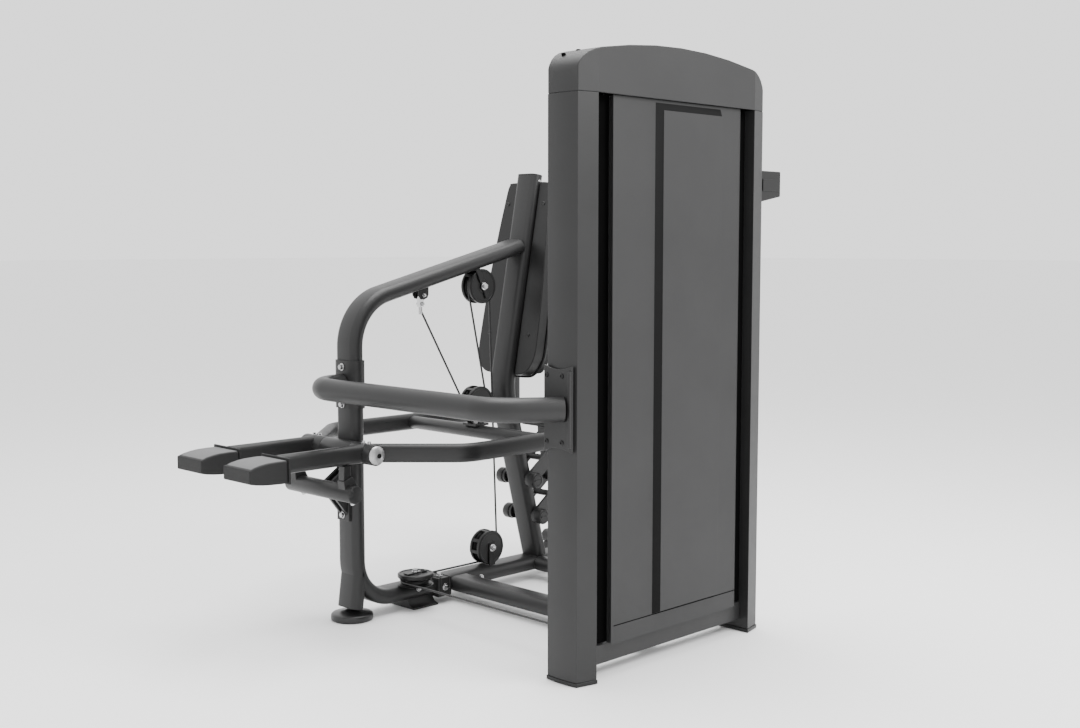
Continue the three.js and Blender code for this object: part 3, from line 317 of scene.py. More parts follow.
# ---------------------------------------------------------------- frame tubes
OVAL = (88, 44)
BOOM_SLOPE = math.radians(14.3)
POST_TOP = Vector((706.6, 0, 1264))
POST_KNEE = Vector((582.3, 0, 609.4))
POST_FOOT = Vector((722.6, 0, 74))
PIVOT = (-31.6, 0, 486)
ARM_Y = 308                     # arm tube, grip socket and crank, from the mid plane
GRIP_X = 927
BEAM_Y = 113                    # counterweight beam, from the mid plane


def upright():
    bm = bmesh.new()
    swept(bm, [(300, 0, 47), (3, 0, 47), (3, 0, 666)], [120], *OVAL, Y, bend_steps=22)
    swept(bm, [(-5, 0, 34), (9, 0, 138)], [], *OVAL, Y)
    turned(bm, disc(28.5, -64, 64, 1.0), PIVOT, Y, 56)
    half, height = 57, 30
    side = [(half, 0), (half, 5), (half - 12, 7), (half - 19, 12), (half - 24, 20), (half - 27, height)]
    outline = side + [(-y, z) for y, z in reversed(side)]
    extruded(bm, [(178, y, z) for y, z in outline], (93, 0, 0))
    finished("upright_tube", bm, POWDER, "frame", ("rear_upright",), 1.0)


def boom():
    bm = bmesh.new()
    reach = 652
    corners = [(3, 0, 666.5), (3, 0, 884), (3 + reach - 16, 0, 884 + (reach - 16) * math.tan(BOOM_SLOPE))]
    swept(bm, corners, [150], *OVAL, Y, bend_steps=20)
    finished("boom_tube", bm, POWDER, "frame", ("upper_boom",))


def post():
    bm = bmesh.new()
    lean = (POST_KNEE.x - POST_FOOT.x) / (POST_KNEE.z - POST_FOOT.z)
    foot = (POST_FOOT.x + lean * (70 - POST_FOOT.z), 0, 70)
    swept(bm, [foot, POST_KNEE, POST_TOP], [250], *OVAL, Y, bend_steps=12)
    cap = POST_TOP - (POST_TOP - POST_KNEE).normalized() * 1
    swept(bm, [cap, POST_TOP + (POST_TOP - POST_KNEE).normalized() * 3], [], 89, 45, Y)
    finished("post_tube", bm, POWDER, "frame", ("back_post",), 1.2)
    for label, x, z in (("upper", 658, 322), ("lower", 686, 204)):
        bm = bmesh.new()
        turned(bm, disc(12, -60, 60), (x, 0, z), Y, 28)
        for side in (-1, 1):
            profile = [(0, 57), (22.5, 57), (24, 58.5), (24, 80), (22, 83.5), (17, 85), (15, 83.4), (0, 83.4)]
            turned(bm, profile, (x, 0, z), Y * side, 44)
            near, far = sorted((side * 83, side * 85.4))
            slab(bm, (x - 13, near, z - 2.2), (x + 13, far, z + 2.2))
        finished("seat_hub_" + label, bm, PLASTIC, "frame", bevel=0.5)
    socket_screw("post_cap_bolt", (704, -44, 1247), (0, -1, 0), 5)


def base():
    bm = bmesh.new()
    swept(bm, [(300.5, 0, 47), (1040, 0, 47)], [], *OVAL, Y)
    swept(bm, [(1040, -240, 47), (1040, 240, 47)], [], *OVAL, X)
    for y in (-240, 160):
        side = [(57, 0), (57, 5), (45, 7), (38, 12), (33, 20), (30, 30)]
        outline = side + [(-x, z) for x, z in reversed(side)]
        extruded(bm, [(1040 + x, y, z) for x, z in outline], (0, 80, 0))
    finished("spine_tube", bm, POWDER, "frame", ("base_spine",), 1.0)
    bm = bmesh.new()
    slab(bm, (274, -56, 19), (324, 56, 75))
    slab(bm, (281, -58, 23), (284, 58, 77))
    slab(bm, (314, -58, 23), (317, 58, 77))
    finished("spine_joint_block", bm, POWDER, "frame", bevel=2.5)
    for name, x, width, far in (("side", 368, 84, -774.7), ("front", 708, 56, -747.7)):
        bm = bmesh.new()
        swept(bm, [(x, -43, 47), (x, far, 47)], [], width, 44, X)
        finished(f"base_{name}_tube_fine", bm, POWDER, "frame", (f"base_{name}_tube",))
    hex_bolt("joint_bolt_side", (299, -56.5, 47), (0, -1, 0), 14, 7, 22)
    hex_bolt("joint_bolt_top", (299, -30, 75.5), (0, 0, 1), 12, 6, 19)
    hex_bolt("spine_bolt_rear", (207.6, -42.4, 55), (0, -1, 0.3), 11, 5, 16)
    hex_bolt("spine_bolt_front", (453, -43.8, 48), (0, -1, 0), 11, 5, 16)


def guard():
    bm = bmesh.new()
    corners = [(4, -824, 666), (-131, -729, 666), (-131, 0, 666), (-26, 0, 666)]
    swept(bm, corners, [120, 88], 60.02, 60, Z, sides=40, bend_steps=18)
    finished("guard_tube_fine", bm, POWDER, "frame", ("guard_rail",))
    bm = bmesh.new()
    sag = [(-852 + 91 * i / 12, 563 + 9 * math.sin(math.pi * i / 12)) for i in range(13)]
    outline = sag + [(y, 1332 - z) for y, z in reversed(sag)]
    extruded(bm, [(2.4, y, z) for y, z in outline], (7, 0, 0))
    slab(bm, (-4, -852, 575), (3, -843, 757))
    finished("guard_plate", bm, POWDER, "frame", bevel=1.6)
    for i, (y, z) in enumerate([(-770, 745), (-820, 745), (-770, 586), (-820, 586)]):
        socket_screw(f"guard_screw_{i}", (2.4, y, z), (-1, 0, 0), 6.5, material=PLASTIC)


def stop_bar():
    bm = bmesh.new()
    turned(bm, disc(24, -148.5, 148.5, 1.5), (-94.4, 0, 384.5), Y, 48)
    slab(bm, (-27.3, -27, 285), (-19.3, 27, 446))
    for y in (-20, 10):
        web = [(-23, 300), (-80, 372), (-94, 384.5), (-80, 402), (-23, 440)]
        extruded(bm, [(x, y, z) for x, z in web], (0, 10, 0))
    finished("stop_bar_weldment", bm, POWDER, "frame", ("stop_bar",), 1.2)
    for label, side in (("left", 1), ("right", -1)):
        bm = bmesh.new()
        block = [(-118, 421), (-112, 385), (-76, 385), (-72, 402), (-89, 432)]
        extruded(bm, [(x, side * 113 - 15, z) for x, z in block], (0, 30, 0))
        finished("stop_block_" + label, bm, POWDER, "frame", bevel=1.4)
        hex_bolt("stop_bolt_" + label, (-79, side * 113, 358), (0.25, 0, -1), 10, 5, 15)
    for label, z in (("high", 430), ("low", 301)):
        hex_bolt("stop_plate_bolt_" + label, (-27.3, 0, z), (-1, 0, 0), 13, 6, 19)
    for label, z in (("high", 715), ("low", 611)):
        hex_bolt("sleeve_bolt_" + label, (-24.3, 0, z), (-1, 0, 0), 13, 7, 21)


# ---------------------------------------------------------------- press arms
def arms():
    for label, side in (("left", 1), ("right", -1)):
        bm = bmesh.new()
        y = side * ARM_Y
        corners = [(-20, side * 124, 488), (164, y, 488), (GRIP_X, y, 488), (GRIP_X, y, 700)]
        swept(bm, corners, [90, 32], 52, 34, Z, bend_steps=16)
        swept(bm, [(PIVOT[0], side * BEAM_Y, 488), (-319, side * BEAM_Y, 488)], [], 52, 34, Z)
        low, high = sorted((side * 64.4, side * 160))
        turned(bm, disc(28.5, low, high), PIVOT, Y, 52)
        turned(bm, disc(28, 678, 700, 1.5), (GRIP_X, y, 0), Z, 44)
        finished("arm_weldment_" + label, bm, POWDER, "arms", ("press_arm_" + label,), 0.9)
        bm = bmesh.new()
        low, high = sorted((side * 50, side * 178))
        slab(bm, (-325, low, 446), (-319.3, high, 513))
        finished("weight_lip_" + label, bm, COVER, "arms", bevel=2.0)
        bm = bmesh.new()
        top = [(-439, 493.5), (-420, 499.5), (-400, 503.6), (-380, 505.8), (-350, 506.6), (-326, 506)]
        bottom = [(-326, 449), (-350, 449.4), (-380, 450.8), (-400, 452.4), (-420, 455.2), (-439, 459.5)]
        low, high = sorted((side * 52, side * 174))
        extruded(bm, [(x, low, z) for x, z in top + bottom], (0, high - low, 0))
        finished("weight_body_" + label, bm, COVER, "arms", ("counterweight_" + label,), 3.2, 30, 3)
        # A thin skin over the weight's top, coloured light grey as a painted highlight.
        bm = bmesh.new()
        skin = [(x + 4 if x < -430 else x, z + 0.9) for x, z in top] + [(x, z - 2) for x, z in reversed(top)]
        extruded(bm, [(x, low + 7, z) for x, z in skin], (0, high - low - 14, 0))
        finished("weight_top_highlight_" + label, bm, WEIGHT_TOP_HIGHLIGHT, "arms", bevel=0.7, angle=30)
        for n, (y, z) in enumerate(((128.6, 475), (127.2, 468))):
            socket_screw(f"weight_screw_{label}_{n}", (-311, side * y, z), (0, side, -0.4), 2.4, "arms")
        for n, y in enumerate((100, 126)):
            hex_bolt(f"clamp_bolt_{label}_{n}", (-30, side * y, 513.4), (0, 0, 1), 9, 5, 13, "arms")
        bm = bmesh.new()
        cap = [
            (0, 171.3), (6, 171.2), (13, 170), (20, 167), (24.5, 163.6), (26, 160.6), (26, 160.2), (0, 160.2),
        ]
        turned(bm, cap, PIVOT, Y * side, 56)
        names = ("pivot_shaft",) if side > 0 else ()
        finished("pivot_cap_" + label, bm, SILVER, "arms", names)
        socket_screw("pivot_screw_" + label, (-31.6, side * 170.6, 486), (0, side, 0), 7, "arms", PLASTIC)
        grip(label, side)
    bm = bmesh.new()
    turned(bm, disc(20, -291, 291), (471, 0, 488), Y, 44)
    finished("cross_tube_fine", bm, POWDER, "arms", ("arm_cross_tube",))


def grip(label, side):
    body = label + "_grip"
    bm = bmesh.new()
    low, high = sorted((side * ARM_Y, side * 363))
    turned(bm, disc(15, 700.3, 748, 1.5), (GRIP_X, side * ARM_Y, 0), Z, 36)
    turned(bm, disc(11, low, high), (GRIP_X, 0, 733), Y, 32)
    turned(bm, disc(12, -68, 68), (GRIP_X, side * 363, 733), X, 32)
    finished("grip_crank_" + label, bm, CHROME, body, ("handle_" + label,), 0.6)
    bm = bmesh.new()
    sleeve = [(12.2, -66), (15, -65)]
    for i in range(26):
        sleeve += [(16, -62 + i * 4.8), (15.2, -59.6 + i * 4.8)]
    turned(bm, sleeve + [(15, 65), (12.2, 66), (12.2, -66)], (GRIP_X, side * 363, 733), X, 40)
    finished("grip_sleeve_" + label, bm, RUBBER, body, angle=60)


# ---------------------------------------------------------------- pulleys
WRAP = 42.5                     # from a wheel's axis to the middle of the cable
LOW_WRAP = 26                   # the same on the small wheel at the tower's foot
UPPER_PULLEY = (487, 0, 927)
ARM_PULLEY = (477, 0, 573)
BASE_PULLEY = (517, 0, 124)
FLAT_PULLEY = (197.5, -42.5, 81.5)
TOWER_LOW = (155, -786, 107.5)
HEAD_REAR = (197.5, -812, 1432)
HEAD_FRONT = (330.5, -812, 1432)


def wheel(name, centre, axis, body, wrap=WRAP):
    rim, groove = wrap + 4.5, wrap - 3.9
    side = [(6.3, 8), (14, 8), (15, 6), (rim - 10, 6), (rim - 8, 8), (rim - 1, 8), (rim, 7), (rim - 0.4, 5.8)]
    dip = [(groove + 1.6, 3.4), (groove + 0.3, 1.9), (groove, 0)]
    half = side + dip
    profile = half + [(r, -a) for r, a in reversed(half[:-1])] + [(6.3, 8)]
    bm = bmesh.new()
    turned(bm, profile, centre, axis, 64)
    finished(name + "_fine", bm, PLASTIC, body, (name,), angle=30)


def cheek(bm, centre, axis, low, high, outward):
    """A round cover with a raised rim and a shallow dished face."""
    face, back = (high, low) if outward > 0 else (low, high)
    step = outward
    profile = [
        (0, back), (51, back), (52, back + step), (52, face - 2.5 * step), (50.5, face - 0.6 * step),
        (49, face),
        (45, face), (44, face - 1.6 * step), (20, face - 1.6 * step), (19, face), (0, face),
    ]
    turned(bm, profile, centre, axis, 72)


def pulley(name, node, centre, body, strap, strap_lean, spacers):
    x, z = centre[0], centre[2]
    bm = bmesh.new()
    cheek(bm, centre, Y, -22, -11, -1)
    cheek(bm, centre, Y, 11, 22, 1)
    turned(bm, disc(6, -21, 21), centre, Y, 24)
    for angle in spacers:
        made = slab(bm, (48, -21, -5), (51.5, 21, 5))
        turn = Matrix.Translation(centre) @ Matrix.Rotation(-math.radians(angle), 4, "Y")
        bmesh.ops.transform(bm, matrix=turn, verts=made)
    finished(name + "_covers", bm, PLASTIC, body, (node,), 0.6, 30)
    for label, side in (("left", 1), ("right", -1)):
        bm = bmesh.new()
        low, high = sorted((side * 21.5, side * 26))
        made = slab(bm, (-strap[2], low, strap[0]), (strap[2], high, strap[1]))
        turn = Matrix.Translation((x, 0, z)) @ Matrix.Rotation(math.radians(strap_lean), 4, "Y")
        bmesh.ops.transform(bm, matrix=turn, verts=made)
        finished(f"{name}_strap_{label}", bm, PLASTIC, body, bevel=1.6)
        hex_bolt(f"{name}_bolt_{label}", (x, side * 26, z), (0, side, 0), 15, 7, 23, body)


def pulleys():
    pulley("upper_pulley", "upper_pulley_housing", UPPER_PULLEY, "frame", (-38, 66, 8), -25, (40, 90, 140))
    pulley("arm_pulley", "arm_pulley_housing", ARM_PULLEY, "arms", (-70, 14, 12), 3, (60, 120))
    pulley("base_pulley", "base_pulley_housing", BASE_PULLEY, "frame", (-54, 14, 12), 0, (100, 150, 190))
    bm = bmesh.new()
    slab(bm, (447, -30, 506), (501, 30, 513))
    finished("arm_pulley_foot", bm, POWDER, "arms", bevel=1.4)
    bm = bmesh.new()
    cheek(bm, FLAT_PULLEY, Z, 12, 23.5, 1)
    cheek(bm, FLAT_PULLEY, Z, -11.2, -8.6, -1)
    turned(bm, disc(6, -11, 23), FLAT_PULLEY, Z, 24)
    finished("flat_pulley_covers", bm, PLASTIC, "frame", ("flat_pulley_housing",), 0.5, 30)
    bm = bmesh.new()
    slab(bm, (160, -53, 104), (235, -32, 108))
    finished("flat_pulley_bar", bm, POWDER, "frame", bevel=1.6)
    hex_bolt("flat_pulley_bolt", (197.5, -42.5, 108), (0, 0, 1), 15, 7, 22)
    socket_screw("flat_pulley_screw", (224, -42.5, 108), (0, 0, 1), 6, material=PLASTIC)
    wheel("upper_pulley_wheel", UPPER_PULLEY, Y, "upper_wheel")
    wheel("arm_pulley_wheel", ARM_PULLEY, Y, "arm_wheel")
    wheel("base_pulley_wheel", BASE_PULLEY, Y, "base_wheel")
    wheel("flat_pulley_wheel", FLAT_PULLEY, Z, "flat_wheel")
    wheel("tower_low_wheel", TOWER_LOW, X, "tower_low_pulley", LOW_WRAP)
    wheel("tower_head_wheel_rear", HEAD_REAR, Y, "head_rear_pulley")
    wheel("tower_head_wheel_front", HEAD_FRONT, Y, "head_front_pulley")


# ---------------------------------------------------------------- cable
CABLE_WIDTH = 6
CABLE_START = (259, 0, 864)
UP = Vector((0, -1, 0))


def heading_between(a, b, normal):
    """Straight run leaving round a and meeting round b; a round is (centre, radius, turn)."""
    span = b[0] - a[0]
    lean = math.asin((b[2] * b[1] - a[2] * a[1]) / span.length)
    return Matrix.Rotation(-lean, 3, normal) @ span.normalized()


def wrap_on(bm, ring, here, round_, inward, outward, normal, steps):
    """Runs the ring straight to the round, then spins it about the round's axis."""
    centre, radius, turn = round_
    axis = normal * turn
    start = centre - axis.cross(inward) * radius
    ring = run_on(bm, ring, start - here)
    angle = inward.angle(outward)
    if inward.cross(outward).dot(axis) < 0:
        angle = 2 * math.pi - angle
    spun = bmesh.ops.spin(bm, geom=ring, cent=centre, axis=axis, angle=angle, steps=steps, use_merge=False)
    ring = [g for g in spun["geom_last"] if isinstance(g, bmesh.types.BMEdge)]
    return ring, centre - axis.cross(outward) * radius


def cable_ring(bm, start, heading, wide):
    return oval_ring(bm, CABLE_WIDTH + 0.001, CABLE_WIDTH, start, heading, wide, 14)


def cable():
    start = Vector(CABLE_START)
    arm = (Vector(ARM_PULLEY), WRAP, 1)
    upper = (Vector(UPPER_PULLEY), WRAP, -1)
    low_base = (Vector(BASE_PULLEY), WRAP, -1)
    flat = (Vector(FLAT_PULLEY), WRAP, 1)
    tower_low = (Vector(TOWER_LOW), LOW_WRAP, -1)
    head_rear = (Vector(HEAD_REAR), WRAP, -1)
    head_front = (Vector(HEAD_FRONT), WRAP, -1)
    down_to_arm = heading_between((start, 0, 0), arm, UP)
    up_to_upper = heading_between(arm, upper, UP)
    down_to_base = heading_between(upper, low_base, UP)
    bm = bmesh.new()
    ring = cable_ring(bm, start, down_to_arm, Y)
    ring, here = wrap_on(bm, ring, start, arm, down_to_arm, up_to_upper, UP, 18)
    entry = upper[0] - (UP * upper[2]).cross(up_to_upper) * WRAP
    run_on(bm, ring, entry - here)
    piece = finished("cable_loop_fine", bm, CABLE, None, ("cable_arm_loop",))
    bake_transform(piece)

    bm = bmesh.new()
    ring = cable_ring(bm, entry, up_to_upper, Y)
    ring, here = wrap_on(bm, ring, entry, upper, up_to_upper, down_to_base, UP, 20)
    ring, here = wrap_on(bm, ring, here, low_base, down_to_base, -X, UP, 12)
    ring, here = wrap_on(bm, ring, here, flat, -X, -Y, Z, 12)
    ring, here = wrap_on(bm, ring, here, tower_low, -Y, Z, X, 12)
    ring, here = wrap_on(bm, ring, here, head_rear, Z, X, UP, 12)
    wrap_on(bm, ring, here, head_front, X, -Z, UP, 12)
    finished("cable_run_fine", bm, CABLE, "frame", ("cable_main_run",))

    bm = bmesh.new()
    top, neck = Vector((373, -812, 1431.7)), Vector((373, -812, 556))
    ring = cable_ring(bm, top, -Z, X)
    run_on(bm, ring, neck - top)
    piece = finished("cable_drop_fine", bm, CABLE, None, ("cable_stack_run",))
    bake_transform(piece)


# ---------------------------------------------------------------- pads
def pad_outline(inset=0.0):
    """Upright outline of the back pad: (across, along), narrowing upward with a round chin."""
    right = [
        (60, -304), (96, -296), (118, -272), (130, -238), (131, -190), (129, -110), (124, -10), (116, 90),
        (107, 180), (98, 252), (94, 280), (88, 296), (74, 303),
    ]
    edge = [(u - inset, s + inset if s < 0 else s - inset) for u, s in right]
    return edge + [(-u, s) for u, s in reversed(edge)]


def puffed(name, bm, swell, cap, body, node, pinned):
    """Voxel mesh, air pressure, capped movement: the recipe for every padded piece."""
    bmesh.ops.transform(bm, matrix=PLACE, verts=bm.verts)
    bmesh.ops.recalc_face_normals(bm, faces=bm.faces)
    mesh = bpy.data.meshes.new(name)
    bm.to_mesh(mesh)
    bm.free()
    mesh.materials.append(VINYL)
    piece = bpy.data.objects.new(name, mesh)
    bpy.context.scene.collection.objects.link(piece)
    voxel = piece.modifiers.new("even mesh", "REMESH")
    voxel.mode = "VOXEL"
    voxel.voxel_size = 0.006
    bake_modifiers(piece)
    inflate(piece, swell, cap, pinned)
    smooth = piece.modifiers.new("soft skin", "SMOOTH")
    smooth.factor = 0.5
    smooth.iterations = 6
    bake_modifiers(piece)
    piece.data.polygons.foreach_set("use_smooth", [True] * len(piece.data.polygons))
    if not piece.data.materials:
        piece.data.materials.append(VINYL)
    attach(piece, body)
    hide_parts(node)
    return piece


def bake_modifiers(piece):
    bpy.context.view_layer.update()
    shaped = bpy.data.meshes.new_from_object(piece.evaluated_get(bpy.context.evaluated_depsgraph_get()))
    piece.modifiers.clear()
    piece.data = shaped


def inflate(piece, pressure, cap, pinned):
    rest = [v.co.copy() for v in piece.data.vertices]
    held = piece.vertex_groups.new(name="held")
    held.add([v.index for v in piece.data.vertices if pinned(v.co)], 1.0, "REPLACE")
    cloth = piece.modifiers.new("air", "CLOTH")
    cloth.settings.use_pressure = True
    cloth.settings.uniform_pressure_force = pressure
    cloth.settings.vertex_group_mass = "held"
    cloth.settings.effector_weights.gravity = 0
    scene = bpy.context.scene
    for number in range(1, 21):
        scene.frame_set(number)
    bake_modifiers(piece)
    scene.frame_set(1)
    for vertex, start in zip(piece.data.vertices, rest):
        step = vertex.co - start
        if step.length > cap:
            vertex.co = start + step * (cap / step.length)


def lean_matrix():
    """Stands an outline (forward, across, along) up against the leaning post."""
    lean = math.atan2(POST_TOP.x - POST_KNEE.x, POST_TOP.z - POST_KNEE.z)
    origin = Vector((POST_TOP.x - (POST_TOP.z - 950) * math.tan(lean), 0, 950))
    return Matrix.Translation(origin) @ Matrix.Rotation(lean, 4, "Y"), origin, lean


def piping(bm, outline, radius=3.2):
    """A round cord sewn along a closed outline."""
    count = len(outline)
    loops = []
    for i, here in enumerate(outline):
        ahead = (outline[(i + 1) % count] - outline[i - 1]).normalized()
        ring = oval_ring(bm, 2 * radius + 0.001, 2 * radius, here, ahead, X if abs(ahead.x) < 0.7 else Y, 10)
        loops.append(ring)
    for a, b in zip(loops, loops[1:] + loops[:1]):
        bmesh.ops.bridge_loops(bm, edges=a + b)


def dense(points, per_side=8):
    """A closed outline with evenly spaced points on a smooth Catmull-Rom curve."""
    out = []
    count = len(points)
    for i in range(count):
        a, b, c, d = (Vector(points[(i + k) % count]) for k in (-1, 0, 1, 2))
        for j in range(per_side):
            t = j / per_side
            bend = (2 * a - 5 * b + 4 * c - d) * t * t + (3 * b - a - 3 * c + d) * t ** 3
            out.append(0.5 * (2 * b + (c - a) * t + bend))
    return out


def back_pad():
    stand, origin, lean = lean_matrix()
    bm = bmesh.new()
    extruded(bm, [(40, u, s) for u, s in pad_outline(5)], (50, 0, 0))
    front = [e for e in bm.edges if all(abs(v.co.x - 90) < 0.1 for v in e.verts)]
    bmesh.ops.bevel(bm, geom=front, offset=18, segments=5, profile=0.5, affect="EDGES", material=-1)
    bmesh.ops.transform(bm, matrix=stand, verts=bm.verts)
    plane = PLACE @ (stand @ Vector((46, 0, 0)))
    normal = Vector((math.cos(lean), 0, -math.sin(lean)))
    puffed("back_cushion", bm, 4.0, 0.009, "frame", "back_pad", lambda co: (co - plane).dot(normal) < 0)
    bm = bmesh.new()
    outline = [stand @ Vector((38, p.x, p.y)) for p in dense([(u, s) for u, s in pad_outline(2)], 4)]
    piping(bm, outline)
    finished("back_cushion_piping", bm, VINYL, "frame", angle=80)
    shell(stand)


def shell(stand):
    """Moulded backing: rim, recessed channel for the post and its screws."""
    bm = bmesh.new()
    outline = [(p.x, p.y) for p in dense([(u, s) for u, s in pad_outline(4)], 3)]
    extruded(bm, [(-2, u, s) for u, s in outline], (36, 0, 0))
    bmesh.ops.transform(bm, matrix=stand, verts=bm.verts)
    piece = finished("pad_shell_fine", bm, PLASTIC, None)
    cutter_mesh = bmesh.new()
    made = slab(cutter_mesh, (-20, -50, -420), (24.5, 50, 420))
    bmesh.ops.transform(cutter_mesh, matrix=PLACE @ stand, verts=made)
    data = bpy.data.meshes.new("channel")
    cutter_mesh.to_mesh(data)
    cutter_mesh.free()
    cutter = bpy.data.objects.new("channel", data)
    bpy.context.scene.collection.objects.link(cutter)
    carve = piece.modifiers.new("channel", "BOOLEAN")
    carve.operation = "DIFFERENCE"
    carve.solver = "EXACT"
    carve.object = cutter
    bake_modifiers(piece)
    bpy.data.objects.remove(cutter)
    piece.data.polygons.foreach_set("use_smooth", [True] * len(piece.data.polygons))
    piece.data.set_sharp_from_angle(angle=math.radians(30))
    soften = piece.modifiers.new("rounded edges", "BEVEL")
    soften.width = 2.4 * MM
    soften.segments = 3
    soften.limit_method = "ANGLE"
    soften.angle_limit = math.radians(50)
    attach(piece, "frame")
    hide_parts("pad_backing")
    for i, (u, s) in enumerate([(-78, 232), (78, 232), (-86, -176), (86, -176)]):
        place = stand @ Vector((-2, u, s))
        axis = stand.to_3x3() @ Vector((-1, 0, 0))
        socket_screw(f"pad_screw_{i}", place, axis, 6, material=RUBBER)


def seat_pad():
    bm = bmesh.new()
    right = [
        (1092, 60), (1086, 112), (1066, 146), (1030, 163), (980, 166), (900, 166), (820, 162), (775, 148),
        (757, 110), (752, 60),
    ]
    outline = right + [(x, -y) for x, y in reversed(right)]
    inner = [(922 + (x - 922) * 0.97, y * 0.96) for x, y in outline]
    extruded(bm, [(x, y, 480) for x, y in inner], (0, 0, 58))
    top = [e for e in bm.edges if all(abs(v.co.z - 538) < 0.1 for v in e.verts)]
    bmesh.ops.bevel(bm, geom=top, offset=18, segments=5, profile=0.5, affect="EDGES", material=-1)
    puffed("seat_cushion", bm, 4.0, 0.009, "seat", "seat_pad", lambda co: co.z < 0.487)
    bm = bmesh.new()
    ring = [Vector((922 + (p.x - 922) * 0.985, p.y * 0.98, 484)) for p in dense(outline, 4)]
    piping(bm, ring)
    finished("seat_cushion_piping", bm, VINYL, "seat", angle=80)


# ---------------------------------------------------------------- small parts and carried-over shapes
def rear_foot():
    bm = bmesh.new()
    profile = [
        (0, 0), (57, 0), (58.8, 1), (59.5, 3), (59.5, 12), (58.6, 15.5), (56, 18), (48, 20), (38, 22),
        (28, 24.4), (19, 26), (17, 27.6), (11, 28.2), (10, 29), (10, 33), (0, 33),
    ]
    turned(bm, profile, (0, 0, 0), Z, 72)
    finished("rear_foot_fine", bm, RUBBER, "frame", ("rear_foot",), angle=45)


def rods_and_knobs():
    for label, x in (("rear", 278), ("front", 468)):
        bm = bmesh.new()
        turned(bm, disc(9, 80.3, 1349.7), (x, -812, 0), Z, 32)
        finished("guide_rod_fine_" + label, bm, CHROME, "frame", ("guide_rod_" + label,))
    bm = bmesh.new()
    knob = [
        (0, -775.7), (12, -775.7), (12, -768), (6, -764), (6, -754), (13, -751), (15, -748), (15, -734),
        (13.6, -732), (0, -732),
    ]
    turned(bm, knob, (373, 0, 376.5), Y, 40)
    finished("selector_knob", bm, RUBBER, "pin", ("selector_pin",), angle=40)
    bm = bmesh.new()
    pull = [(0, -40.3), (8, -40.3), (8, -62), (16.5, -63), (18, -65), (18, -84), (16, -87), (0, -88)]
    turned(bm, pull, (898, 0, 420), Y, 40)
    finished("seat_pull_knob", bm, RUBBER, "seat_knob", ("seat_pull_pin",), angle=40)


def cable_end():
    """Clevis under the boom: dark ears, a bright link and its two cross bolts, and the cable's ferrule."""
    bm = bmesh.new()
    for y in (-15, 10):
        ear = [(241, 938), (241, 906), (248, 896), (262, 893), (274, 898), (279, 908), (279, 938)]
        extruded(bm, [(x, y, z) for x, z in ear], (0, 5, 0))
    finished("clevis_ears", bm, STEEL, "frame", ("cable_anchor",), 1.4)
    bm = bmesh.new()
    slab(bm, (252, -7, 872), (267, 7, 914))
    turned(bm, disc(5.6, -22, 8, 1.0), (259, 0, 872), Z, 24)
    finished("clevis_link", bm, CHROME, "frame", bevel=1.8)
    for n, (z, reach) in enumerate(((906, 15), (881, 7))):
        for label, side in (("left", 1), ("right", -1)):
            hex_bolt(f"clevis_bolt_{n}_{label}", (259.5, side * reach, z), (0, side, 0), 9, 4.5, 12)


SHROUD_EDGE = 141


def outer_shroud():
    """The covering sheet, its rear return drawn in to leave a wide dark channel beside the upright."""
    bm = merged_copy("outer_shroud")
    edge = (PLACE @ Vector((SHROUD_EDGE - 12, 0, 0))).x
    old = min(v.co.x for v in bm.verts)
    shift = (PLACE @ Vector((SHROUD_EDGE, 0, 0))).x - old
    for vertex in bm.verts:
        if vertex.co.x < edge:
            vertex.co.x += shift
    finished("outer_shroud_skin", bm, SHROUD, BODY_OF["outer_shroud"], ("outer_shroud",), 0.8, place=False)


def raised_panel():
    """The shroud's raised panel: a mitred border sloping up to a flat face, the border painted near-black as
    shade.
    """
    low, high = (285, 127), (542, 1397)
    rear, front_edge, bottom, top = 22, 3, 4, 18
    bm = bmesh.new()
    rings = []
    for share, y in ((0, -863.2), (1, -871.0)):
        x0, z0 = low[0] + rear * share, low[1] + bottom * share
        x1, z1 = high[0] - front_edge * share, high[1] - top * share
        rings.append([bm.verts.new(p) for p in ((x0, y, z0), (x1, y, z0), (x1, y, z1), (x0, y, z1))])
    back, front = rings
    bm.faces.new(back)
    bm.faces.new(front)
    for i in range(4):
        j = (i + 1) % 4
        bm.faces.new((back[i], back[j], front[j], front[i]))
    # The border takes the painted-shade finish.
    finished("panel_border", bm, PANEL_BORDER_SHADE, "frame", ("shroud_panel",), 0.5)
    bm = bmesh.new()
    slab(bm, (low[0] + rear, -871.8, low[1] + bottom), (high[0] - front_edge, -869, high[1] - top))
    finished("panel_face", bm, SHROUD, "frame", bevel=0.5)


def tower_trim():
    bm = bmesh.new()
    slab(bm, (744, -854.5, 1196), (822, -852, 1228))
    finished("caddy_band", bm, PLASTIC, "frame", bevel=1.2)
    socket_screw("tower_side_stud", (727, -842, 1078), X, 4, material=PLASTIC)
    # Painted shade: near-black discs on the cap stand for the shade inside its openings.
    for i, (x, y, z) in enumerate([(40, -788, 1495.6), (70, -807, 1505.6)]):
        bm = bmesh.new()
        turned(bm, disc(5.5, -3, 2.4, 0.8), (x, y, z), Z, 24)
        finished(f"cap_opening_shade_{i}", bm, SHADOW, "frame")
    for label, x0, x1 in (("rear", 70.4, SHROUD_EDGE - 1.4), ("front", 641.4, 675.6)):
        bm = bmesh.new()
        slab(bm, (x0, -842, 84), (x1, -838.6, 1403.5))
        finished("channel_shadow_" + label, bm, SHADOW, "frame", bevel=0.4)
    bm = bmesh.new()
    slab(bm, (SHROUD_EDGE, -864.2, 124.6), (640, -862.6, 126.2))
    finished("shroud_seam", bm, SHADOW, "frame", bevel=0.2)


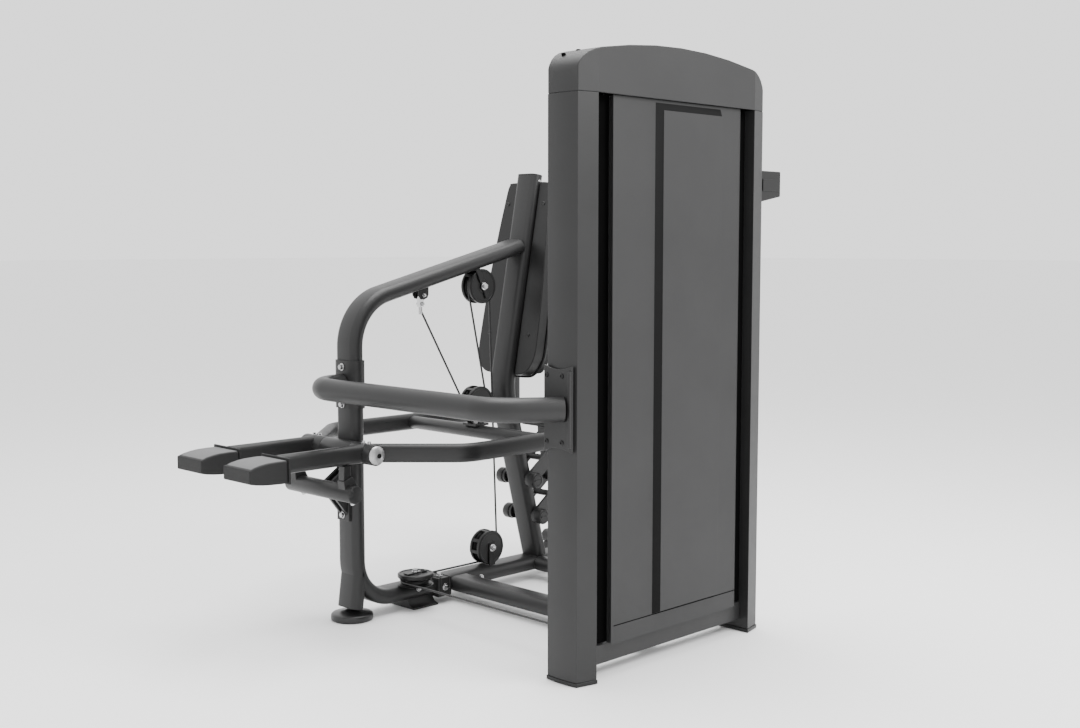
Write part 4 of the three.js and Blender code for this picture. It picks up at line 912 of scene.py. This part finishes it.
CARRIED = [
    ("upright_sleeve", POWDER, 1.6),
    ("tower_upright_rear", POWDER, 2.5), ("tower_upright_front", POWDER, 2.5),
    ("tower_foot_rear", PLASTIC, 1.5), ("tower_foot_front", PLASTIC, 1.5), ("tower_cap", SHROUD, 3.0),
    ("inner_shroud", SHROUD, 0.8),
    ("tower_base_beam", POWDER, 1.5), ("tower_head_beam", POWDER, 1.5), ("accessory_box", PLASTIC, 3.0),
    ("stack_lower_plates", STEEL, 1.0), ("stack_selected_plates", STEEL, 1.0),
    ("buffer_left", RUBBER, 1.5), ("buffer_right", RUBBER, 1.5),
    ("seat_link_upper", POWDER, 1.0), ("seat_link_lower", POWDER, 1.0), ("seat_carriage", POWDER, 1.6),
]


# ---------------------------------------------------------------- studio
def studio():
    bm = bmesh.new()
    bmesh.ops.create_grid(bm, x_segments=1, y_segments=1, size=80)
    mesh = bpy.data.meshes.new("floor")
    bm.to_mesh(mesh)
    bm.free()
    floor = bpy.data.objects.new("floor", mesh)
    bpy.context.scene.collection.objects.link(floor)
    pale = bpy.data.materials.new("pale floor")
    pale.use_nodes = True
    pale.node_tree.nodes["Principled BSDF"].inputs["Base Color"].default_value = (0.92, 0.92, 0.92, 1)
    pale.node_tree.nodes["Principled BSDF"].inputs["Roughness"].default_value = 0.7
    mesh.materials.append(pale)
    floor.location.z = -0.001
    world = bpy.data.worlds.new("studio")
    world.use_nodes = True
    world.node_tree.nodes["Background"].inputs[0].default_value = (1, 1, 1, 1)
    world.node_tree.nodes["Background"].inputs[1].default_value = 1.7
    bpy.context.scene.world = world
    for name, place, aim, size, power in (
        ("top", (0.2, 0.1, 3.6), (0, 0, 0.75), 2.4, 150),
        ("right", (0.7, -3.0, 2.9), (0.1, -0.5, 1.2), 1.6, 130),
    ):
        light = bpy.data.lights.new(name, "AREA")
        light.size = size
        light.energy = power
        lamp = bpy.data.objects.new(name, light)
        lamp.location = place
        lamp.rotation_euler = (Vector(aim) - Vector(place)).to_track_quat("-Z", "Y").to_euler()
        bpy.context.scene.collection.objects.link(lamp)


def camera():
    """45 mm lens, 45 degrees round from the machine's back and 5.1 degrees down."""
    lens = bpy.data.cameras.new("camera")
    lens.lens = 45
    lens.sensor_width = 36
    eye = bpy.data.objects.new("camera", lens)
    eye.location = PLACE @ Vector((-2265.6, -3015.8, 1055))
    yaw, pitch = math.radians(45), math.radians(-5.1)
    look = Vector((math.cos(yaw) * math.cos(pitch), math.sin(yaw) * math.cos(pitch), math.sin(pitch)))
    eye.rotation_euler = look.to_track_quat("-Z", "Y").to_euler()
    bpy.context.scene.collection.objects.link(eye)
    bpy.context.scene.camera = eye


camera()
studio()
for node, material, bevel in CARRIED:
    rounded_from_frame(node, material, bevel)
for make in (
    upright, boom, post, base, guard, stop_bar, arms, pulleys, cable, cable_end, rear_foot, rods_and_knobs,
    outer_shroud, raised_panel, tower_trim, back_pad, seat_pad,
):
    make()
